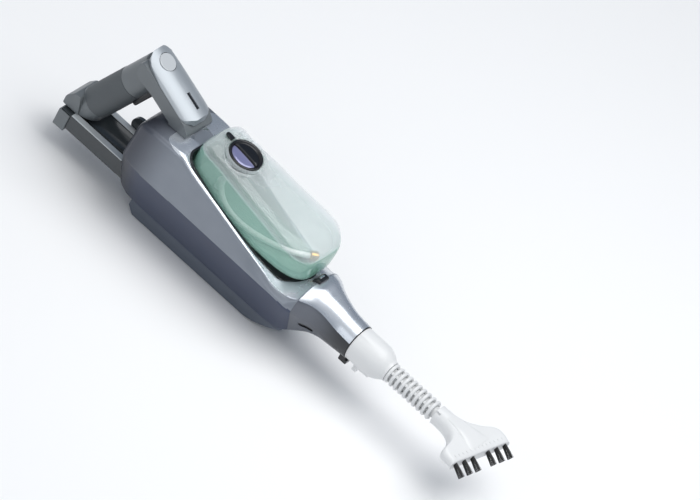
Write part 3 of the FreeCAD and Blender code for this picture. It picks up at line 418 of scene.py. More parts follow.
def make_finishes():
    """Every finish on the cleaner, named for what it is made of; some also carry a painted shade or a painted
    sheen, as noted.
    """
    FINISH.update({
        # Sprayed ABS in a metallic grey: a soft flake sparkle and broad highlights; darker towards the handle
        # end, a painted shade.
        "graphite_spray": plastic("graphite_sprayed_abs", "#7E848D", 0.36, 0.35, 0.2, 0.35, 0.03, "#898F98",
                                  fade=(34, -22, "#3D404A")),
        # The neck shell has the same spray over black stock; the darkening towards the collar is a painted
        # shade.
        "neck_spray": plastic("graphite_sprayed_neck_abs", "#5C6069", 0.3, 0.35, 0.3, 0.35, 0.03, "#666B74",
                              fade=(222, 270, "#2C2E32")),
        # The same spray in a blue-grey on the undercut flanks, so they read darker; darker still towards the
        # handle end, a painted shade.
        "navy_spray": plastic("blue_grey_sprayed_abs", "#2F3951", 0.34, 0.3, 0.25, 0.35, 0.03, "#37425B",
                              fade=(10, -20, "#2A2D38")),
        # Silver lacquer on ABS: bright, nearly mirror-like, picks up the sky of the studio.
        "silver_spray": plastic("silver_lacquered_abs", "#C2C8CF", 0.27, 0.72, 0.35, 0.3, 0.01, "#CDD2D9"),
        # The handle's crowned plate is lacquered a shade darker and more satin.
        "plate_lacquer": plastic("satin_lacquered_plate_abs", "#9EA4A9", 0.42, 0.45, 0.15, 0.3, 0.02,
                                 "#A9AFB4"),
        # The frame's rims have a paler satin coat: an even light line along each edge.
        "rim_lacquer": plastic("satin_lacquered_rim_abs", "#B6BBBE", 0.34, 0.3, 0.2, 0.3, 0.02, "#C0C5C8"),
        # Moulded grey ABS with a light spark-eroded grain.
        "handle_abs": plastic("grey_moulded_abs", "#676C6F", 0.36, 0.15, 0.15, 0.5, 0.05, "#707578"),
        # The rail is the same ABS with some flake in it, so it sits between shell and handle.
        "rail_abs": plastic("grey_moulded_rail_abs", "#59606B", 0.4, 0.35, 0.1, 0.5, 0.05, "#626974"),
        # Pale fine-grained ABS: the button stands out from its plate without shining.
        "button_abs": plastic("light_grey_button_abs", "#C0C4C7", 0.34, 0.15, 0.2, 0.4, 0.03),
        # Dark glossy ABS, polished in the mould: clear reflections on near-black.
        "dark_abs": plastic("dark_polished_abs", "#2F3437", 0.2, 0.0, 0.4, 0.5, 0.02, "#383D41"),
        # Black ABS straight from the mould: small soft highlights on black.
        "black_abs": plastic("black_abs", "#101114", 0.3, 0.0, 0.2, 0.5, 0.04, "#17181C"),
        # The bay's ABS is a touch lighter, so its walls still show in their own shade.
        "tray_abs": plastic("black_bay_abs", "#16181B", 0.3, 0.0, 0.2, 0.5, 0.04, "#1F2327"),
        # Soft-touch rubber: no sharp highlight, fine pebble.
        "grip_rubber": plastic("soft_touch_rubber", "#4E5356", 0.55, 0.0, 0.0, 0.9, 0.3, "#585D60"),
        # Clear polycarbonate with a mint tint; the walls gather colour at their edges.
        "tank_back": clear_moulding("mint_clear_polycarbonate", "#B4DCCF", "#79B49F", 0.3, 0.66),
        # The lid is the same plastic, lightly frosted inside, so it looks milky white.
        "tank_front": clear_moulding("frosted_clear_polycarbonate", "#EDF5F6", "#F7FAFC", 0.13, 0.62),
        # The cap's black is glossier, with a crisp line of light round its rim.
        "cap_black": plastic("black_cap_abs", "#121317", 0.25, 0.0, 0.3, 0.5, 0.03),
        # One face of the cap has a cool violet-grey colour, a painted sheen standing for the sky's
        # reflection.
        "cap_painted_sheen": plastic("glossy_cap_painted_sheen_abs", "#77799F", 0.1, 0.2, 0.8, 0.5, 0.0, "#8688AE"),
        # Soft PVC: a cloudy white-green, waxy rather than glassy.
        "hose_pvc": plastic("milky_soft_pvc", "#D9E4DE", 0.35, 0.0, 0.1, 1.0, 0.02, "#E6EEEA"),
        # Polypropylene: a plain soft white with rounded, dull highlights.
        "white_pp": plastic("white_polypropylene", "#DADBDB", 0.38, 0.0, 0.1, 0.5, 0.04, "#E2E3E3"),
        # The tube's polypropylene is greyer, a painted shade so it reads as behind the ribs.
        "tube_pp_painted_shade": plastic("white_tube_polypropylene_painted_shade", "#D3D4D4", 0.4, 0.0, 0.0, 0.5, 0.04),
        # Nylon filament: near-black and dull, lit only along single hairs.
        "nylon": plastic("black_nylon", "#08080A", 0.45, 0.0, 0.0, 0.3, 0.1, "#141416"),
        # Smoked acrylic: black with one sharp reflection.
        "lens": plastic("smoked_lens_acrylic", "#15171B", 0.06, 0.0, 0.8, 2.0, 0.0),
        # Chrome plate: a small bright glint beside the black latch.
        "chrome": metal("bright_chrome_plate", "#D9DCE0", 0.08, 1.0, 0.0),
        # Turned brass: warm gold that shows through the milky tank.
        "brass": metal("turned_brass", "#C8A24E", 0.25),
        # Zinc-plated steel: cool and even, for screws and pins.
        "steel": metal("zinc_plated_steel", "#A9ABAE", 0.3),
        # Die-cast alloy: pale, rough metal, pebbled from the die.
        "alloy": metal("die_cast_alloy", "#B6B8BB", 0.45, 0.8, 0.3),
        # Solder mask: a deep green with a wet-looking coat.
        "board": plastic("solder_mask_green_board", "#1E5B36", 0.3, 0.0, 0.3, 0.6, 0.1, "#27683F"),
        # Potted winding: dull copper brown with the turns just felt.
        "winding": plastic("potted_copper_winding", "#7A4A22", 0.4, 0.3, 0.0, 0.5, 0.3),
    })


# ---- body stations ------------------------------------------------------------------------

BODY_R = [5, 9, 6, 30]


def front_z(x):
    """Height of the casing's front edge, which falls towards the neck."""
    return 123.5 - 0.322 * (x - 30)


def crease_z(x):
    """Height of the crease between the upper side and the undercut flank."""
    return 77 - 9 * (x + 17) / 220


def body_half(x):
    """Right half of the casing's outline at a station, from the underside to the top."""
    trim = front_z(x) if x > 30 else 124.5
    crown = 1.5 if x < 130 else 1.5 + (x - 130) * 0.075
    wide = 42 - 4 * (x - 21) / 177
    return [(22, 17), (50 - 7 * (x + 17) / 220, crease_z(x)), (wide, trim), (0.5 * wide, trim + crown)]


def scaled(half, k, centre):
    return [(a * k, centre + (b - centre) * k) for a, b in half]


END = [(-27, 0.62), (-24.5, 0.77), (-19.5, 0.88), (-12, 0.95), (-4, 0.99)]
LOW_END = [(20, 26), (38.5, 64), (34, 79), (17, 90)]
BODY = ([(x, scaled(body_half(x), k, 68), BODY_R) for x, k in END]
        + [(x, body_half(x), BODY_R) for x in (6, 18, 30, 50, 70, 90, 110, 130, 150, 168, 184)]
        + [(203, [(22, 20), (43, 67), (38, 72.5), (20, 85)], BODY_R), (212, LOW_END, BODY_R)])
ROUND = [0.414 * 20, 20, 20, 0.414 * 20]
NECK_ROWS = [(212, LOW_END), (221, [(15.5, 30), (31, 60), (30, 80), (14, 91)]),
             (230, [(12.5, 34), (25, 57), (25.3, 78.3), (12, 88.5)]),
             (242, [(10, 36.5), (22, 54), (22, 74.6), (10, 85.6)]),
             (258, [(9, 38), (20.7, 52.5), (20.2, 70), (8.8, 82)]),
             (276, [(8.28, 40), (20, 51.72), (20, 68.28), (8.28, 80)])]
NECK = [(x, half, [v + (19.8 - v) * min(1.0, i / 4) for v in BODY_R])
        for i, (x, half) in enumerate(NECK_ROWS)]
MOUTH = [(34.5, 28.9), (45, 37), (110, 36.8), (150, 34.4), (182, 28.9), (197, 17), (203.5, 0)]
MOUTH = MOUTH + [(x, -y) for x, y in reversed(MOUTH[:-1])]
MOUTH_R = [12, 20, 80, 60, 30, 16, 14, 16, 30, 60, 80, 20, 12]


def skin_height(loops, x, y):
    """Height of the top of a lofted skin over a plan point."""
    i = max(j for j in range(len(loops) - 1) if loops[j][0] <= x or j == 0)
    t = min(max((x - loops[i][0]) / (loops[i + 1][0] - loops[i][0]), 0), 1)
    heights = []
    for _, loop in (loops[i], loops[i + 1]):
        side = [p for p in loop if p[0] >= -1e-6 and p[1] > 66]
        side.sort(key=lambda p: p[0])
        best = side[-1][1]
        for a, b in zip(side, side[1:]):
            if a[0] <= abs(y) <= b[0]:
                s = (abs(y) - a[0]) / max(b[0] - a[0], 1e-6)
                best = a[1] + (b[1] - a[1]) * s
                break
        heights.append(best)
    return heights[0] * (1 - t) + heights[1] * t


# ---- operators ------------------------------------------------------------------------------

class CleanerSizes(bpy.types.PropertyGroup):
    """Counts of the dressing."""
    bristles: IntProperty(name="Bristles", description="Filaments in each tuft", default=60, min=8)
    ribs: IntProperty(name="Ribs", description="Ribs on the nozzle guard", default=10, min=3)


class CLEANER_OT_casing(bpy.types.Operator):
    """Build the lofted casing and the rear rail"""
    bl_idname = "cleaner.casing"
    bl_label = "Casing"

    def execute(self, context):
        loops = section_rows(BODY, 4.0)
        x0, first = loops[0]
        caps = []
        for dx, k in ((-0.25, 0.9), (-0.3, 0.5), (-0.3, 0.05)):
            caps.insert(0, (x0 + dx, [Vector((p[0] * k, 66 + (p[1] - 66) * k)) for p in first]))
        loops = caps + loops
        rings = [[at(x, p[0], p[1]) for p in loop] for x, loop in loops]
        verts, faces = tube_grid(rings, start_cap=True, end_cap=True)
        picks = []
        for face in faces:
            mid = sum((verts[i] for i in face), Vector()) / len(face)
            x = mid.x * 1000 + MID
            crease = crease_z(x)
            picks.append(1 if mid.z * 1000 < crease - 1.2 and x > -19 else 0)
        piece = mesh_object("casing", verts, faces,
                            [FINISH["graphite_spray"], FINISH["navy_spray"]], picks, sharp=40)
        pocket = [[at(x, y, z) for x, y in round_loop(MOUTH, MOUTH_R, 6, 4)] for z in (67, 170)]
        cutter = mesh_object("cutter", *tube_grid(pocket, start_cap=True, end_cap=True), [])
        carved(piece, cutter)
        piece.data.set_sharp_from_angle(angle=math.radians(40))
        finish(piece, ["left_casing", "right_casing"])
        node_copy("rail", "rear_rail", "rail_abs", 0.8)
        tree, size = growing_tree("rail_screw_row", [
            ("Head Radius", "Float", 0.0029), ("Head Height", "Float", 0.0019),
            ("Shank Radius", "Float", 0.0014), ("Shank Length", "Float", 0.015),
            ("Cross Width", "Float", 0.0007), ("Cross Length", "Float", 0.0034)])
        head = add_node(tree, "GeometryNodeMeshCylinder", [(size["Head Radius"], "Radius"),
                        (size["Head Height"], "Depth")], Vertices=40)
        arms = []
        for first, second in (("Cross Length", "Cross Width"), ("Cross Width", "Cross Length")):
            arm = add_node(tree, "ShaderNodeCombineXYZ", [(size[first], "X"), (size[second], "Y"),
                                                          (size["Head Height"], "Z")])
            arms.append(add_node(tree, "GeometryNodeMeshCube", [(arm.outputs[0], "Size")]).outputs[0])
        cross = add_node(tree, "GeometryNodeJoinGeometry")
        for arm in arms:
            tree.links.new(arm, cross.inputs[0])
        sunk = add_node(tree, "GeometryNodeTransform", [(cross.outputs[0], "Geometry")],
                        Translation=(0, 0, -0.0011))
        driven = add_node(tree, "GeometryNodeMeshBoolean", [(head.outputs[0], "Mesh 1"),
                          (sunk.outputs[0], "Mesh 2")], operation="DIFFERENCE")
        shank = add_node(tree, "GeometryNodeMeshCylinder", [(size["Shank Radius"], "Radius"),
                         (size["Shank Length"], "Depth")], Vertices=20)
        raised = add_node(tree, "GeometryNodeTransform", [(shank.outputs[0], "Geometry")],
                          Translation=(0, 0, 0.0084))
        screw = add_node(tree, "GeometryNodeJoinGeometry")
        tree.links.new(driven.outputs[0], screw.inputs[0])
        tree.links.new(raised.outputs[0], screw.inputs[0])
        row = add_node(tree, "GeometryNodeInstanceOnPoints",
                       [(size[0], "Points"), (screw.outputs[0], "Instance")])
        end_tree(tree, row.outputs[0], FINISH["steel"])
        screws = grown("screws", tree, [at(x, y, 5.95) for x, y in ((20, 9), (75, -9), (116, 9), (156, -9))])
        finish(screws, ["rail_screws"])
        return {"FINISHED"}


class CLEANER_OT_bezel(bpy.types.Operator):
    """Build the silver surround of the tank bay, the tray and the tank latch"""
    bl_idname = "cleaner.bezel"
    bl_label = "Bay surround"

    def execute(self, context):
        loops = section_rows(BODY, 4.0)
        outer = [(9, 37), (24, 40.9), (110, 38.9), (150, 38), (188, 37.6), (211.4, 33.6), (211.7, 0)]
        outer = outer + [(x, -y) for x, y in reversed(outer[:-1])]
        inner = round_loop(MOUTH, MOUTH_R, 6, 8)
        rim = round_loop(outer, [8, 30, 60, 60, 40, 2, 60, 2, 40, 60, 60, 30, 8], 6, 8)
        rows = []
        for depth, inset in ((-3.4, 0.0), (-0.9, 0.0), (-0.2, 0.15)):
            rows.append([at(*p, skin_height(loops, *p) + 0.35 + depth) for p in
                         (a.lerp(b, inset / max((b - a).length, 1e-3)) for a, b in zip(inner, rim))])
        for t in (0.12, 0.3, 0.5, 0.7, 0.88, 0.985):
            rows.append([at(*p, skin_height(loops, *p) + 0.35) for p in
                         (a.lerp(b, t) for a, b in zip(inner, rim))])
        rows.append([at(*p, skin_height(loops, *p) - 0.8) for p in rim])
        verts, faces = tube_grid(rows)
        piece = mesh_object("bay_surround", verts, faces, [FINISH["silver_spray"]], sharp=50)
        finish(piece, ["front_bezel"])
        node_copy("bay", "bay_tray", "tray_abs", 0.3)
        key_side = round_loop([(206.2, 85), (206.2, 90.5), (209, 93.1), (214.6, 93.1), (214.6, 85)],
                              [0.8, 1.2, 1.4, 1.4, 0.8])
        lip_side = round_loop([(207.4, 90.6), (209.6, 94.3), (211.4, 94.3), (211.4, 90.6)],
                              [0.8, 1.2, 1.4, 1.4])
        for name, half, outline, drop, nodes, gloss in (
                ("tank_latch_key", 7.9, key_side, 1.1, ["tank_latch"], "black_abs"),
                ("latch_lip", 3.4, lip_side, 0, [], "chrome")):
            rows = [[at(x, y, z - (drop if abs(y) == half else 0)) for x, z in outline]
                    for y in (-half, 1 - half, half - 1, half)]
            key = mesh_object(name, *tube_grid(rows, start_cap=True, end_cap=True), [FINISH[gloss]])
            bevelled(key, 0.4, 2)
            finish(key, nodes, "tank_latch")
        node_copy("latch_bed", "latch_guide", "chrome", 0.3)
        return {"FINISHED"}


class CLEANER_OT_neck(bpy.types.Operator):
    """Build the neck shell, its silver front and the outlet collar"""
    bl_idname = "cleaner.neck"
    bl_label = "Neck"

    def execute(self, context):
        loops = section_rows(NECK, 2.5)
        per_corner = 7 + 2
        low = 2 * per_corner + 3
        high = 5 * per_corner + 3
        for name, node, finish_name, pick in (
                ("neck_front", "neck_front_cover", "silver_spray", range(low, high + 1)),
                ("neck_back", "neck_shell", "neck_spray",
                 list(range(high, per_corner * 8)) + list(range(0, low + 1)))):
            rings = [[at(x + (0.25 if i == 0 else 0), loop[j][0], loop[j][1]) for j in pick]
                     for i, (x, loop) in enumerate(loops)]
            piece = mesh_object(name, *tube_grid(rings, closed=False), [FINISH[finish_name]], sharp=50)
            wall = piece.modifiers.new("wall", "SOLIDIFY")
            wall.thickness, wall.offset = 0.002, -1
            baked(piece)
            if node == "neck_shell":
                slot = round_loop([(220.2, 44.2), (235.8, 44.2), (235.8, 49.8), (220.2, 49.8)], [2.7] * 4)
                slot = tube_grid([[at(x, y, z) for x, z in slot] for y in (-60, 60)],
                                 start_cap=True, end_cap=True)
                key_hole = rod_cutter(at(272, 0, 20), at(272, 0, 46), 5.2)
                carved(piece, mesh_object("cutter", *slot, []), key_hole)
            piece.data.set_sharp_from_angle(angle=math.radians(40))
            finish(piece, [node])
        node_copy("gasket", "collar_gasket", "black_abs")
        node_copy("nozzle_latch_key", "nozzle_latch", "black_abs", 0.8)
        node_copy("screw_cups", "neck_recess_cups", "black_abs", 0.2)
        return {"FINISHED"}


class CLEANER_OT_handle(bpy.types.Operator):
    """Build the looped handle, its crowned plate, button, lens and trigger"""
    bl_idname = "cleaner.handle"
    bl_label = "Handle"

    def execute(self, context):
        for name, node in (("handle_left", "handle_left_shell"), ("handle_right", "handle_right_shell")):
            node_copy(name, node, "handle_abs", 0.9)
        node_copy("grip_cover", "grip_sleeve", "grip_rubber", 0.5)
        node_copy("crowned_plate", "bridge_plate", "plate_lacquer", 1.0, segments=3)
        node_copy("button", "power_button", "button_abs", 0.8, segments=3)
        node_copy("lens", "indicator_lens", "lens", 0.8, segments=3)
        node_copy("trigger", "steam_trigger", "black_abs", 0.3)
        return {"FINISHED"}


class CLEANER_OT_rear_frame(bpy.types.Operator):
    """Build the rear frame, its silver rims, end block, cover, hook and gland"""
    bl_idname = "cleaner.rear_frame"
    bl_label = "Rear frame"

    def execute(self, context):
        node_copy("frame_bar", "rear_frame", "dark_abs", 0.8)
        node_copy("frame_rims", "rear_frame_trim", "rim_lacquer", 0.5)
        node_copy("end_block", "rear_end_block", "handle_abs", 1.6, segments=4)
        node_copy("end_cover", "rear_end_cover", "handle_abs", 1.0)
        node_copy("hook", "cord_hook", "dark_abs", 0.8)
        node_copy("gland", "cord_gland", "black_abs", 0.4)
        return {"FINISHED"}


class CLEANER_OT_tank(bpy.types.Operator):
    """Build the clear water tank, its valve, fitting and strap"""
    bl_idname = "cleaner.tank"
    bl_label = "Water tank"

    def execute(self, context):
        node_copy("tank_tub", "tank_back", "tank_back", 0.0)
        node_copy("tank_cover", "tank_front", "tank_front", 0.0)
        node_copy("strap", "cap_tether", "black_abs", 0.4)
        node_copy("root_fitting", "hose_fitting", "white_pp", 0.4)
        up = Vector((0.128, 0, 1)).normalized()     # the lid and its cap lean towards the neck
        rim = [(-13.4, 13.2), (-13.6, 14.2), (-5.8, 14.2), (-5.6, 18.2), (-5.2, 18.8), (-1.2, 19),
               (-0.4, 18.7), (0, 18), (0, 17), (-0.4, 16.2), (-1.5, 15.8), (-1.9, 15.2), (-2.0, 9),
               (-2.0, 0.4)]
        base = at(78, 0, 147.5)
        cap = turned("cap", rim, base, up, "cap_black")
        cap.data.set_sharp_from_angle(angle=math.radians(50))
        finish(cap, ["tank_cap"])
        along = Vector((up.z, 0, -up.x))
        ridge = []
        for t in [k / 14 for k in range(15)]:
            reach = (t * 2 - 1) * 15.4
            tall = 1.7 * math.sqrt(max(1 - (abs(t * 2 - 1)) ** 6, 0)) + 0.05
            ridge.append([base + (along * reach + Vector((0, y, 0)) + up * z) / 1000 for y, z in
                          ((-2.2, -2.1), (-1.7, tall * 0.55 - 0.4), (-1.1, tall * 0.95), (0, tall * 1.05),
                           (1.1, tall * 0.95), (1.7, tall * 0.55 - 0.4), (2.2, -2.1))])
        fin = mesh_object("cap_fin", *tube_grid(ridge, start_cap=True, end_cap=True), [FINISH["cap_black"]],
                          sharp=50)
        finish(fin, [], "tank_cap")
        # The near half of the cap's dish takes the violet-grey finish, a painted sheen; the far half keeps
        # the cap's own black.
        for name, side, gloss in (("near_moon", -1, "cap_painted_sheen"), ("far_moon", 1, "cap_black")):
            rings = []
            for radius, height in ((14.9, -1.9), (14.4, -1.45), (12.5, -1.15), (9, -0.95), (5, -0.85)):
                ring = []
                for k in range(25):
                    a = math.pi * k / 24
                    ring.append(base + (along * math.cos(a) * radius
                                + Vector((0, side, 0)) * (2.3 + math.sin(a) * max(radius - 2.3, 0.5))
                                + up * height) / 1000)
                rings.append(ring)
            rings.append([p.lerp(sum(rings[-1], Vector()) / 25, 0.9) for p in rings[-1]])
            moon = mesh_object(name, *tube_grid(rings, end_cap=True), [FINISH[gloss]], sharp=50)
            finish(moon, [], "tank_cap")
        return {"FINISHED"}


HOSE = [(68, 0, 98), (76, -11, 100), (87, -20, 98.5), (101, -24, 96.5), (115, -23.5, 94.5),
        (130, -20.5, 93.6), (145, -15.5, 93.2), (159, -9, 92.8), (171, -1.5, 92.8), (181, 7, 93.6),
        (187, 13, 94.6)]


class CLEANER_OT_hose(bpy.types.Operator):
    """Lay the suction hose and its brass weight inside the tank"""
    bl_idname = "cleaner.hose"
    bl_label = "Suction hose"

    def execute(self, context):
        weight = node_copy("sinker", "suction_weight", "brass", 0.4)
        curve = bpy.data.curves.new("suction_line", "CURVE")
        curve.dimensions = "3D"
        line = curve.splines.new("NURBS")
        line.points.add(len(HOSE) - 1)
        for point, place in zip(line.points, HOSE):
            point.co = (*at(*place), 1.0)
        line.order_u = 3
        line.use_endpoint_u = True
        curve.resolution_u = 8
        curve.bevel_depth = 0.003
        curve.bevel_resolution = 5
        curve.use_fill_caps = True
        curve.materials.append(FINISH["hose_pvc"])
        piece = linked("suction_line", curve)
        finish(piece, ["suction_hose"])
        return {"FINISHED"}


class CLEANER_OT_nozzle(bpy.types.Operator):
    """Build the adaptor, its ribbed guard and the jet tube"""
    bl_idname = "cleaner.nozzle"
    bl_label = "Nozzle"

    def execute(self, context):
        node_copy("adaptor", "nozzle_adaptor", "white_pp", 0.5)
        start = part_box("nozzle_rib_guard")[0].x
        tree, size = growing_tree("rib_row", [
            ("Count", "Int", 10), ("Pitch", "Float", 0.0062), ("Radius", "Float", 0.011),
            ("Bore", "Float", 0.0069), ("Width", "Float", 0.0034)])
        step = add_node(tree, "ShaderNodeCombineXYZ", [(size["Pitch"], "X")])
        line = add_node(tree, "GeometryNodeMeshLine", [(size["Count"], "Count"), (step.outputs[0], "Offset")])
        depth = maths(tree, "SUBTRACT", size["Radius"], size["Bore"])
        total = maths(tree, "ADD", size["Radius"], size["Bore"])
        loop = add_node(tree, "GeometryNodeCurvePrimitiveCircle",
                        [(maths(tree, "MULTIPLY", total, 0.5), "Radius")], Resolution=72)
        level = add_node(tree, "GeometryNodeSetCurveNormal", [(loop.outputs[0], "Curve")], mode="Z_UP")
        frame_line = add_node(tree, "GeometryNodeCurvePrimitiveQuadrilateral",
                              [(depth, "Width"), (size["Width"], "Height")])
        eased = add_node(tree, "GeometryNodeFilletCurve", [(frame_line.outputs[0], "Curve")],
                         Radius=0.0008)
        solid = add_node(tree, "GeometryNodeCurveToMesh",
                         [(level.outputs[0], "Curve"), (eased.outputs[0], "Profile Curve")])
        turn = add_node(tree, "GeometryNodeTransform", [(solid.outputs[0], "Geometry")],
                        Rotation=(0, math.pi / 2, 0))
        row = add_node(tree, "GeometryNodeInstanceOnPoints",
                       [(line.outputs[0], "Points"), (turn.outputs[0], "Instance")])
        shift = add_node(tree, "GeometryNodeTransform", [(row.outputs[0], "Geometry")],
                         Translation=(start + 0.0017, 0, 0.06))
        end_tree(tree, shift.outputs[0], FINISH["white_pp"])
        ribs = grown("guard_ribs", tree, [(0, 0, 0)], Count=context.scene.cleaner.ribs)
        finish(ribs, ["nozzle_rib_guard"])
        verts, faces = [], []
        for quarter in range(4):
            bars = []
            for along in (0.001, 0.0585):
                bar = []
                for radius, low, high in ((9.1, 36, 54), (6.95, 52, 38)):
                    for k in range(5):
                        a = math.radians(low + (high - low) * k / 4 + 90 * quarter)
                        bar.append(Vector((start + along, radius * math.sin(a) / 1000,
                                           0.06 + radius * math.cos(a) / 1000)))
                bars.append(bar)
            some, quads = tube_grid(bars, start_cap=True, end_cap=True)
            faces += [tuple(i + len(verts) for i in f) for f in quads]
            verts += some
        spine = mesh_object("guard_spines", verts, faces, [FINISH["white_pp"]])
        finish(spine, [], "nozzle")
        # The jet tube's greyer finish is a painted shade, so it reads as behind the ribs.
        node_copy("inner_tube", "jet_tube", "tube_pp_painted_shade")
        return {"FINISHED"}


GOLDEN_ANGLE = 2.39996      # spreads the filaments of a tuft evenly
BAR_YAW = math.radians(10)  # the brush bar is turned a little across the tube
BAR_PITCH = math.radians(22)
TUFT_FIRST, TUFT_PITCH = 10.9, 12
BAR_MARK_HALF_ROW = 0.033


class CLEANER_OT_brush(bpy.types.Operator):
    """Build the brush head and its bristle tufts"""
    bl_idname = "cleaner.brush"
    bl_label = "Brush"

    def execute(self, context):
        node_copy("head", "brush_head", "white_pp", 0.5)
        # A stem fades out down the middle of the fan, laid on the head's own top surface.
        data = frame["nodes"]["brush_head"].data
        skin = BVHTree.FromPolygons([v.co for v in data.vertices], [p.vertices for p in data.polygons])
        low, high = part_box("brush_head")
        rows = []
        for i in range(25):
            s = i / 24
            x = low.x + 0.011 + 0.0425 * s
            half = 0.0062 + 0.0105 * s ** 1.6
            tall = 0.0026 * min(1, 4 * s) * (1 - 0.7 * s * s)
            drift = 0.004 * s * s
            top, under = [], []
            for j in range(-10, 11):
                u = j / 10
                y = half * u + drift
                hit = skin.ray_cast(Vector((x, y, 0.2)), Vector((0, 0, -1)))[0]
                z = hit.z if hit is not None else 0.058
                top.append(Vector((x, y, min(z - 0.0003 + tall * (1 - u ** 6), high.z - 0.0003))))
                under.append(Vector((x, y, z - 0.0009)))
            rows.append(top + under[::-1])
        stem = mesh_object("raised_stem", *tube_grid(rows, start_cap=True, end_cap=True),
                           [FINISH["white_pp"]], sharp=60)
        finish(stem, [], "brush")
        flat = math.cos(BAR_PITCH)
        way = Vector((math.cos(BAR_YAW) * flat, -math.sin(BAR_YAW) * flat, -math.sin(BAR_PITCH)))
        bar = Vector((math.sin(BAR_YAW), math.cos(BAR_YAW), 0))
        face = Vector((low.x + 0.0595, 0, 0.0577))
        roots = [face + bar * side * (TUFT_FIRST + TUFT_PITCH * i) / 1000 - way * 0.002
                 for side in (-1, 1) for i in range(3)]
        tree, size = growing_tree("bristle_tufts", [
            ("Bristles", "Int", 60), ("Tuft Radius", "Float", 0.0022), ("Length", "Float", 0.0165),
            ("Thickness", "Float", 0.00022), ("Flare", "Float", 28.0), ("Seed", "Int", 4)])
        spots = add_node(tree, "GeometryNodePoints", [(size["Bristles"], "Count")])
        number = add_node(tree, "GeometryNodeInputIndex").outputs[0]
        out = maths(tree, "SQRT", maths(tree, "DIVIDE", number, size["Bristles"]))
        wide = maths(tree, "MULTIPLY", out, size["Tuft Radius"])
        turn = maths(tree, "MULTIPLY", number, GOLDEN_ANGLE)
        spiral = [maths(tree, "MULTIPLY", maths(tree, function, turn), wide)
                  for function in ("COSINE", "SINE")]
        spot = add_node(tree, "ShaderNodeCombineXYZ", [(spiral[0], "X"), (spiral[1], "Y")])
        tree.links.new(spot.outputs[0], spots.inputs["Position"])
        lean = add_node(tree, "ShaderNodeVectorMath", [(spot.outputs[0], 0), (size["Flare"], "Scale")],
                        operation="SCALE")
        stray = add_node(tree, "FunctionNodeRandomValue", [(number, "ID"), (size["Seed"], "Seed")],
                         data_type="FLOAT_VECTOR", Min=(-0.05, -0.05, 1.0), Max=(0.05, 0.05, 1.0))
        aim = add_node(tree, "ShaderNodeVectorMath", [(lean.outputs[0], 0), (stray.outputs[0], 1)],
                       operation="ADD")
        tilt = add_node(tree, "FunctionNodeAlignRotationToVector", [(aim.outputs[0], "Vector")], axis="Z")
        tip = maths(tree, "MULTIPLY", size["Thickness"], 0.7)
        hair = add_node(tree, "GeometryNodeMeshCone", [
            (size["Length"], "Depth"), (size["Thickness"], "Radius Bottom"), (tip, "Radius Top")],
            Vertices=5)
        tuft = add_node(tree, "GeometryNodeInstanceOnPoints",
                        [(spots.outputs[0], "Points"), (hair.outputs[0], "Instance"),
                         (tilt.outputs[0], "Rotation")])
        lay = add_node(tree, "FunctionNodeAlignRotationToVector", axis="Z", Vector=way)
        rows = add_node(tree, "GeometryNodeInstanceOnPoints",
                        [(size[0], "Points"), (tuft.outputs[0], "Instance"), (lay.outputs[0], "Rotation")])
        end_tree(tree, rows.outputs[0], FINISH["nylon"])
        bristles = grown("bristles", tree, roots, Bristles=context.scene.cleaner.bristles)
        finish(bristles, ["brush_tufts"])
        tree, size = growing_tree("bar_marks", [
            ("Count", "Int", 13), ("Spacing", "Float", 0.0055), ("Width", "Float", 0.0008),
            ("Length", "Float", 0.005)])
        step = add_node(tree, "ShaderNodeVectorMath", [(size["Spacing"], "Scale")], operation="SCALE")
        step.inputs[0].default_value = bar
        line = add_node(tree, "GeometryNodeMeshLine", [(size["Count"], "Count"), (step.outputs[0], "Offset")])
        shape = add_node(tree, "ShaderNodeCombineXYZ", [(size["Length"], "X"), (size["Width"], "Y")],
                         Z=0.0016)
        block = add_node(tree, "GeometryNodeMeshCube", [(shape.outputs[0], "Size")])
        row = add_node(tree, "GeometryNodeInstanceOnPoints",
                       [(line.outputs[0], "Points"), (block.outputs[0], "Instance")])
        row.inputs["Rotation"].default_value = (0, math.radians(28), BAR_YAW)
        shift = add_node(tree, "GeometryNodeTransform", [(row.outputs[0], "Geometry")])
        shift.inputs["Translation"].default_value = (
            low.x + 0.0553 - bar.x * BAR_MARK_HALF_ROW, -bar.y * BAR_MARK_HALF_ROW, 0.0635)
        end_tree(tree, shift.outputs[0], FINISH["white_pp"])
        finish(grown("bar_marks", tree, [(0, 0, 0)]), [], "brush")
        return {"FINISHED"}


class CLEANER_OT_inside(bpy.types.Operator):
    """Give every carried CAD node inside the shells its own finish"""
    bl_idname = "cleaner.inside"
    bl_label = "Inner parts"

    def execute(self, context):
        by_slot = {"graphite_paint": "graphite_spray", "silver_paint": "silver_spray",
                   "handle_grey": "handle_abs", "dark_grey": "dark_abs", "black_plastic": "black_abs",
                   "black_rubber": "grip_rubber", "clear_tank": "tank_back", "lens": "lens",
                   "hose": "hose_pvc", "brass": "brass", "white_plastic": "white_pp",
                   "tube_plastic": "tube_pp_painted_shade", "nylon_black": "nylon", "aluminium": "alloy",
                   "steel": "steel", "pump_winding": "winding", "board": "board"}
        for name, piece in frame["nodes"].items():
            material = FINISH[by_slot[SLOT_OF[name]]]
            for i in range(len(piece.material_slots)):
                piece.material_slots[i].link = "OBJECT"
                piece.material_slots[i].material = material
        return {"FINISHED"}


LENS_MM, CAMERA_REACH = 500, 9.722      # a long lens from far off, for an almost parallel view


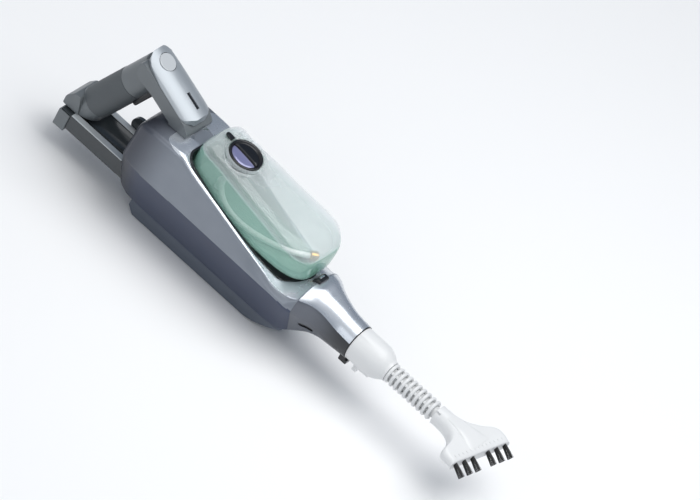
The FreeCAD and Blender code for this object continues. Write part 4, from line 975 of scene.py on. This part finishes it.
class CLEANER_OT_stage(bpy.types.Operator):
    """Set the floor, the soft studio light and the camera"""
    bl_idname = "cleaner.stage"
    bl_label = "Stage"

    def execute(self, context):
        scene = context.scene
        floor = mesh_object("floor", [(-6, -6, 0), (6, -6, 0), (6, 6, 0), (-6, 6, 0)], [(0, 1, 2, 3)],
                            [plastic("matt_white_board", "#F4F4F4", 0.7, bump=0.0)])
        world = bpy.data.worlds.new("studio")
        world.use_nodes = True
        tree = world.node_tree
        tree.nodes.clear()
        place = add_node(tree, "ShaderNodeTexCoord").outputs["Generated"]
        split = add_node(tree, "ShaderNodeSeparateXYZ", [(place, "Vector")])
        ramp = add_node(tree, "ShaderNodeValToRGB", [(split.outputs["Z"], "Fac")])
        stops = ramp.color_ramp.elements
        stops[0].color, stops[1].color = linear("#8E97A3"), linear("#FFFFFF")
        stops.new(0.3).color = linear("#A9B2BE")
        stops.new(0.62).color = linear("#DCE1E8")
        aim = add_node(tree, "ShaderNodeVectorMath", [(place, 0)], operation="DOT_PRODUCT")
        aim.inputs[1].default_value = Vector((-0.2, 0.82, 0.53)).normalized()
        flag = ramped(tree, aim.outputs["Value"], 0.0, 1.0, 0.62, 0.97, interpolation_type="SMOOTHSTEP")
        shade = mixed(tree, flag, ramp.outputs[0], "#6B7B90")
        back = add_node(tree, "ShaderNodeBackground", [(shade, "Color")], Strength=0.78)
        add_node(tree, "ShaderNodeOutputWorld", [(back.outputs[0], "Surface")])
        scene.world = world
        for name, place, aim, power, size in (
                ("overhead", (0.35, 0.15, 1.5), (0, 0, 0), 17, 1.3),
                ("side_fill", (-0.5, -1.8, 0.9), (0, 0, 0.05), 5, 1.2)):
            lamp = bpy.data.lights.new(name, "AREA")
            lamp.energy, lamp.size = power, size
            light = bpy.data.objects.new(name, lamp)
            light.location = place
            light.rotation_euler = (Vector(aim) - Vector(place)).to_track_quat("-Z", "Y").to_euler()
            scene.collection.objects.link(light)
        # The view looks down across the machine, which runs from the upper left to the lower right.
        right = Vector((0.719, 0.587, 0.371)).normalized()
        back = Vector((0.250, -0.717, 0.649))
        back = (back - right * back.dot(right)).normalized()
        up = back.cross(right)
        lens = bpy.data.cameras.new("studio_camera")
        lens.lens, lens.sensor_width = LENS_MM, 36
        lens.clip_end = 50
        camera = bpy.data.objects.new("studio_camera", lens)
        turn = Matrix((right, up, back)).transposed().to_4x4()
        shift = Vector((MID / 1000, 0, 0))
        centre = right * 0.2134 + up * -0.0476
        centre -= right * right.dot(shift) + up * up.dot(shift)
        camera.matrix_world = Matrix.Translation(centre + back * CAMERA_REACH) @ turn
        scene.collection.objects.link(camera)
        scene.camera = camera
        scene.view_settings.view_transform = "Standard"
        return {"FINISHED"}


class CLEANER_PT_panel(bpy.types.Panel):
    """Lists the steps that dress the cleaner"""
    bl_idname = "CLEANER_PT_panel"
    bl_label = "Steam cleaner"
    bl_space_type = "VIEW_3D"
    bl_region_type = "UI"
    bl_category = "Cleaner"

    def draw(self, context):
        for prop in ("bristles", "ribs"):
            self.layout.prop(context.scene.cleaner, prop)
        for step in STEPS:
            self.layout.operator(step.bl_idname)


STEPS = [CLEANER_OT_casing, CLEANER_OT_bezel, CLEANER_OT_neck, CLEANER_OT_handle,
         CLEANER_OT_rear_frame, CLEANER_OT_tank, CLEANER_OT_hose, CLEANER_OT_nozzle,
         CLEANER_OT_brush, CLEANER_OT_inside, CLEANER_OT_stage]


def register():
    for item in [CleanerSizes, *STEPS, CLEANER_PT_panel]:
        bpy.utils.register_class(item)
    bpy.types.Scene.cleaner = PointerProperty(type=CleanerSizes)


def unregister():
    del bpy.types.Scene.cleaner
    for item in reversed([CleanerSizes, *STEPS, CLEANER_PT_panel]):
        bpy.utils.unregister_class(item)


def main():
    register()
    make_finishes()
    for step in STEPS:
        group, name = step.bl_idname.split(".")
        getattr(getattr(bpy.ops, group), name)()


if __name__ == "__main__":
    main()
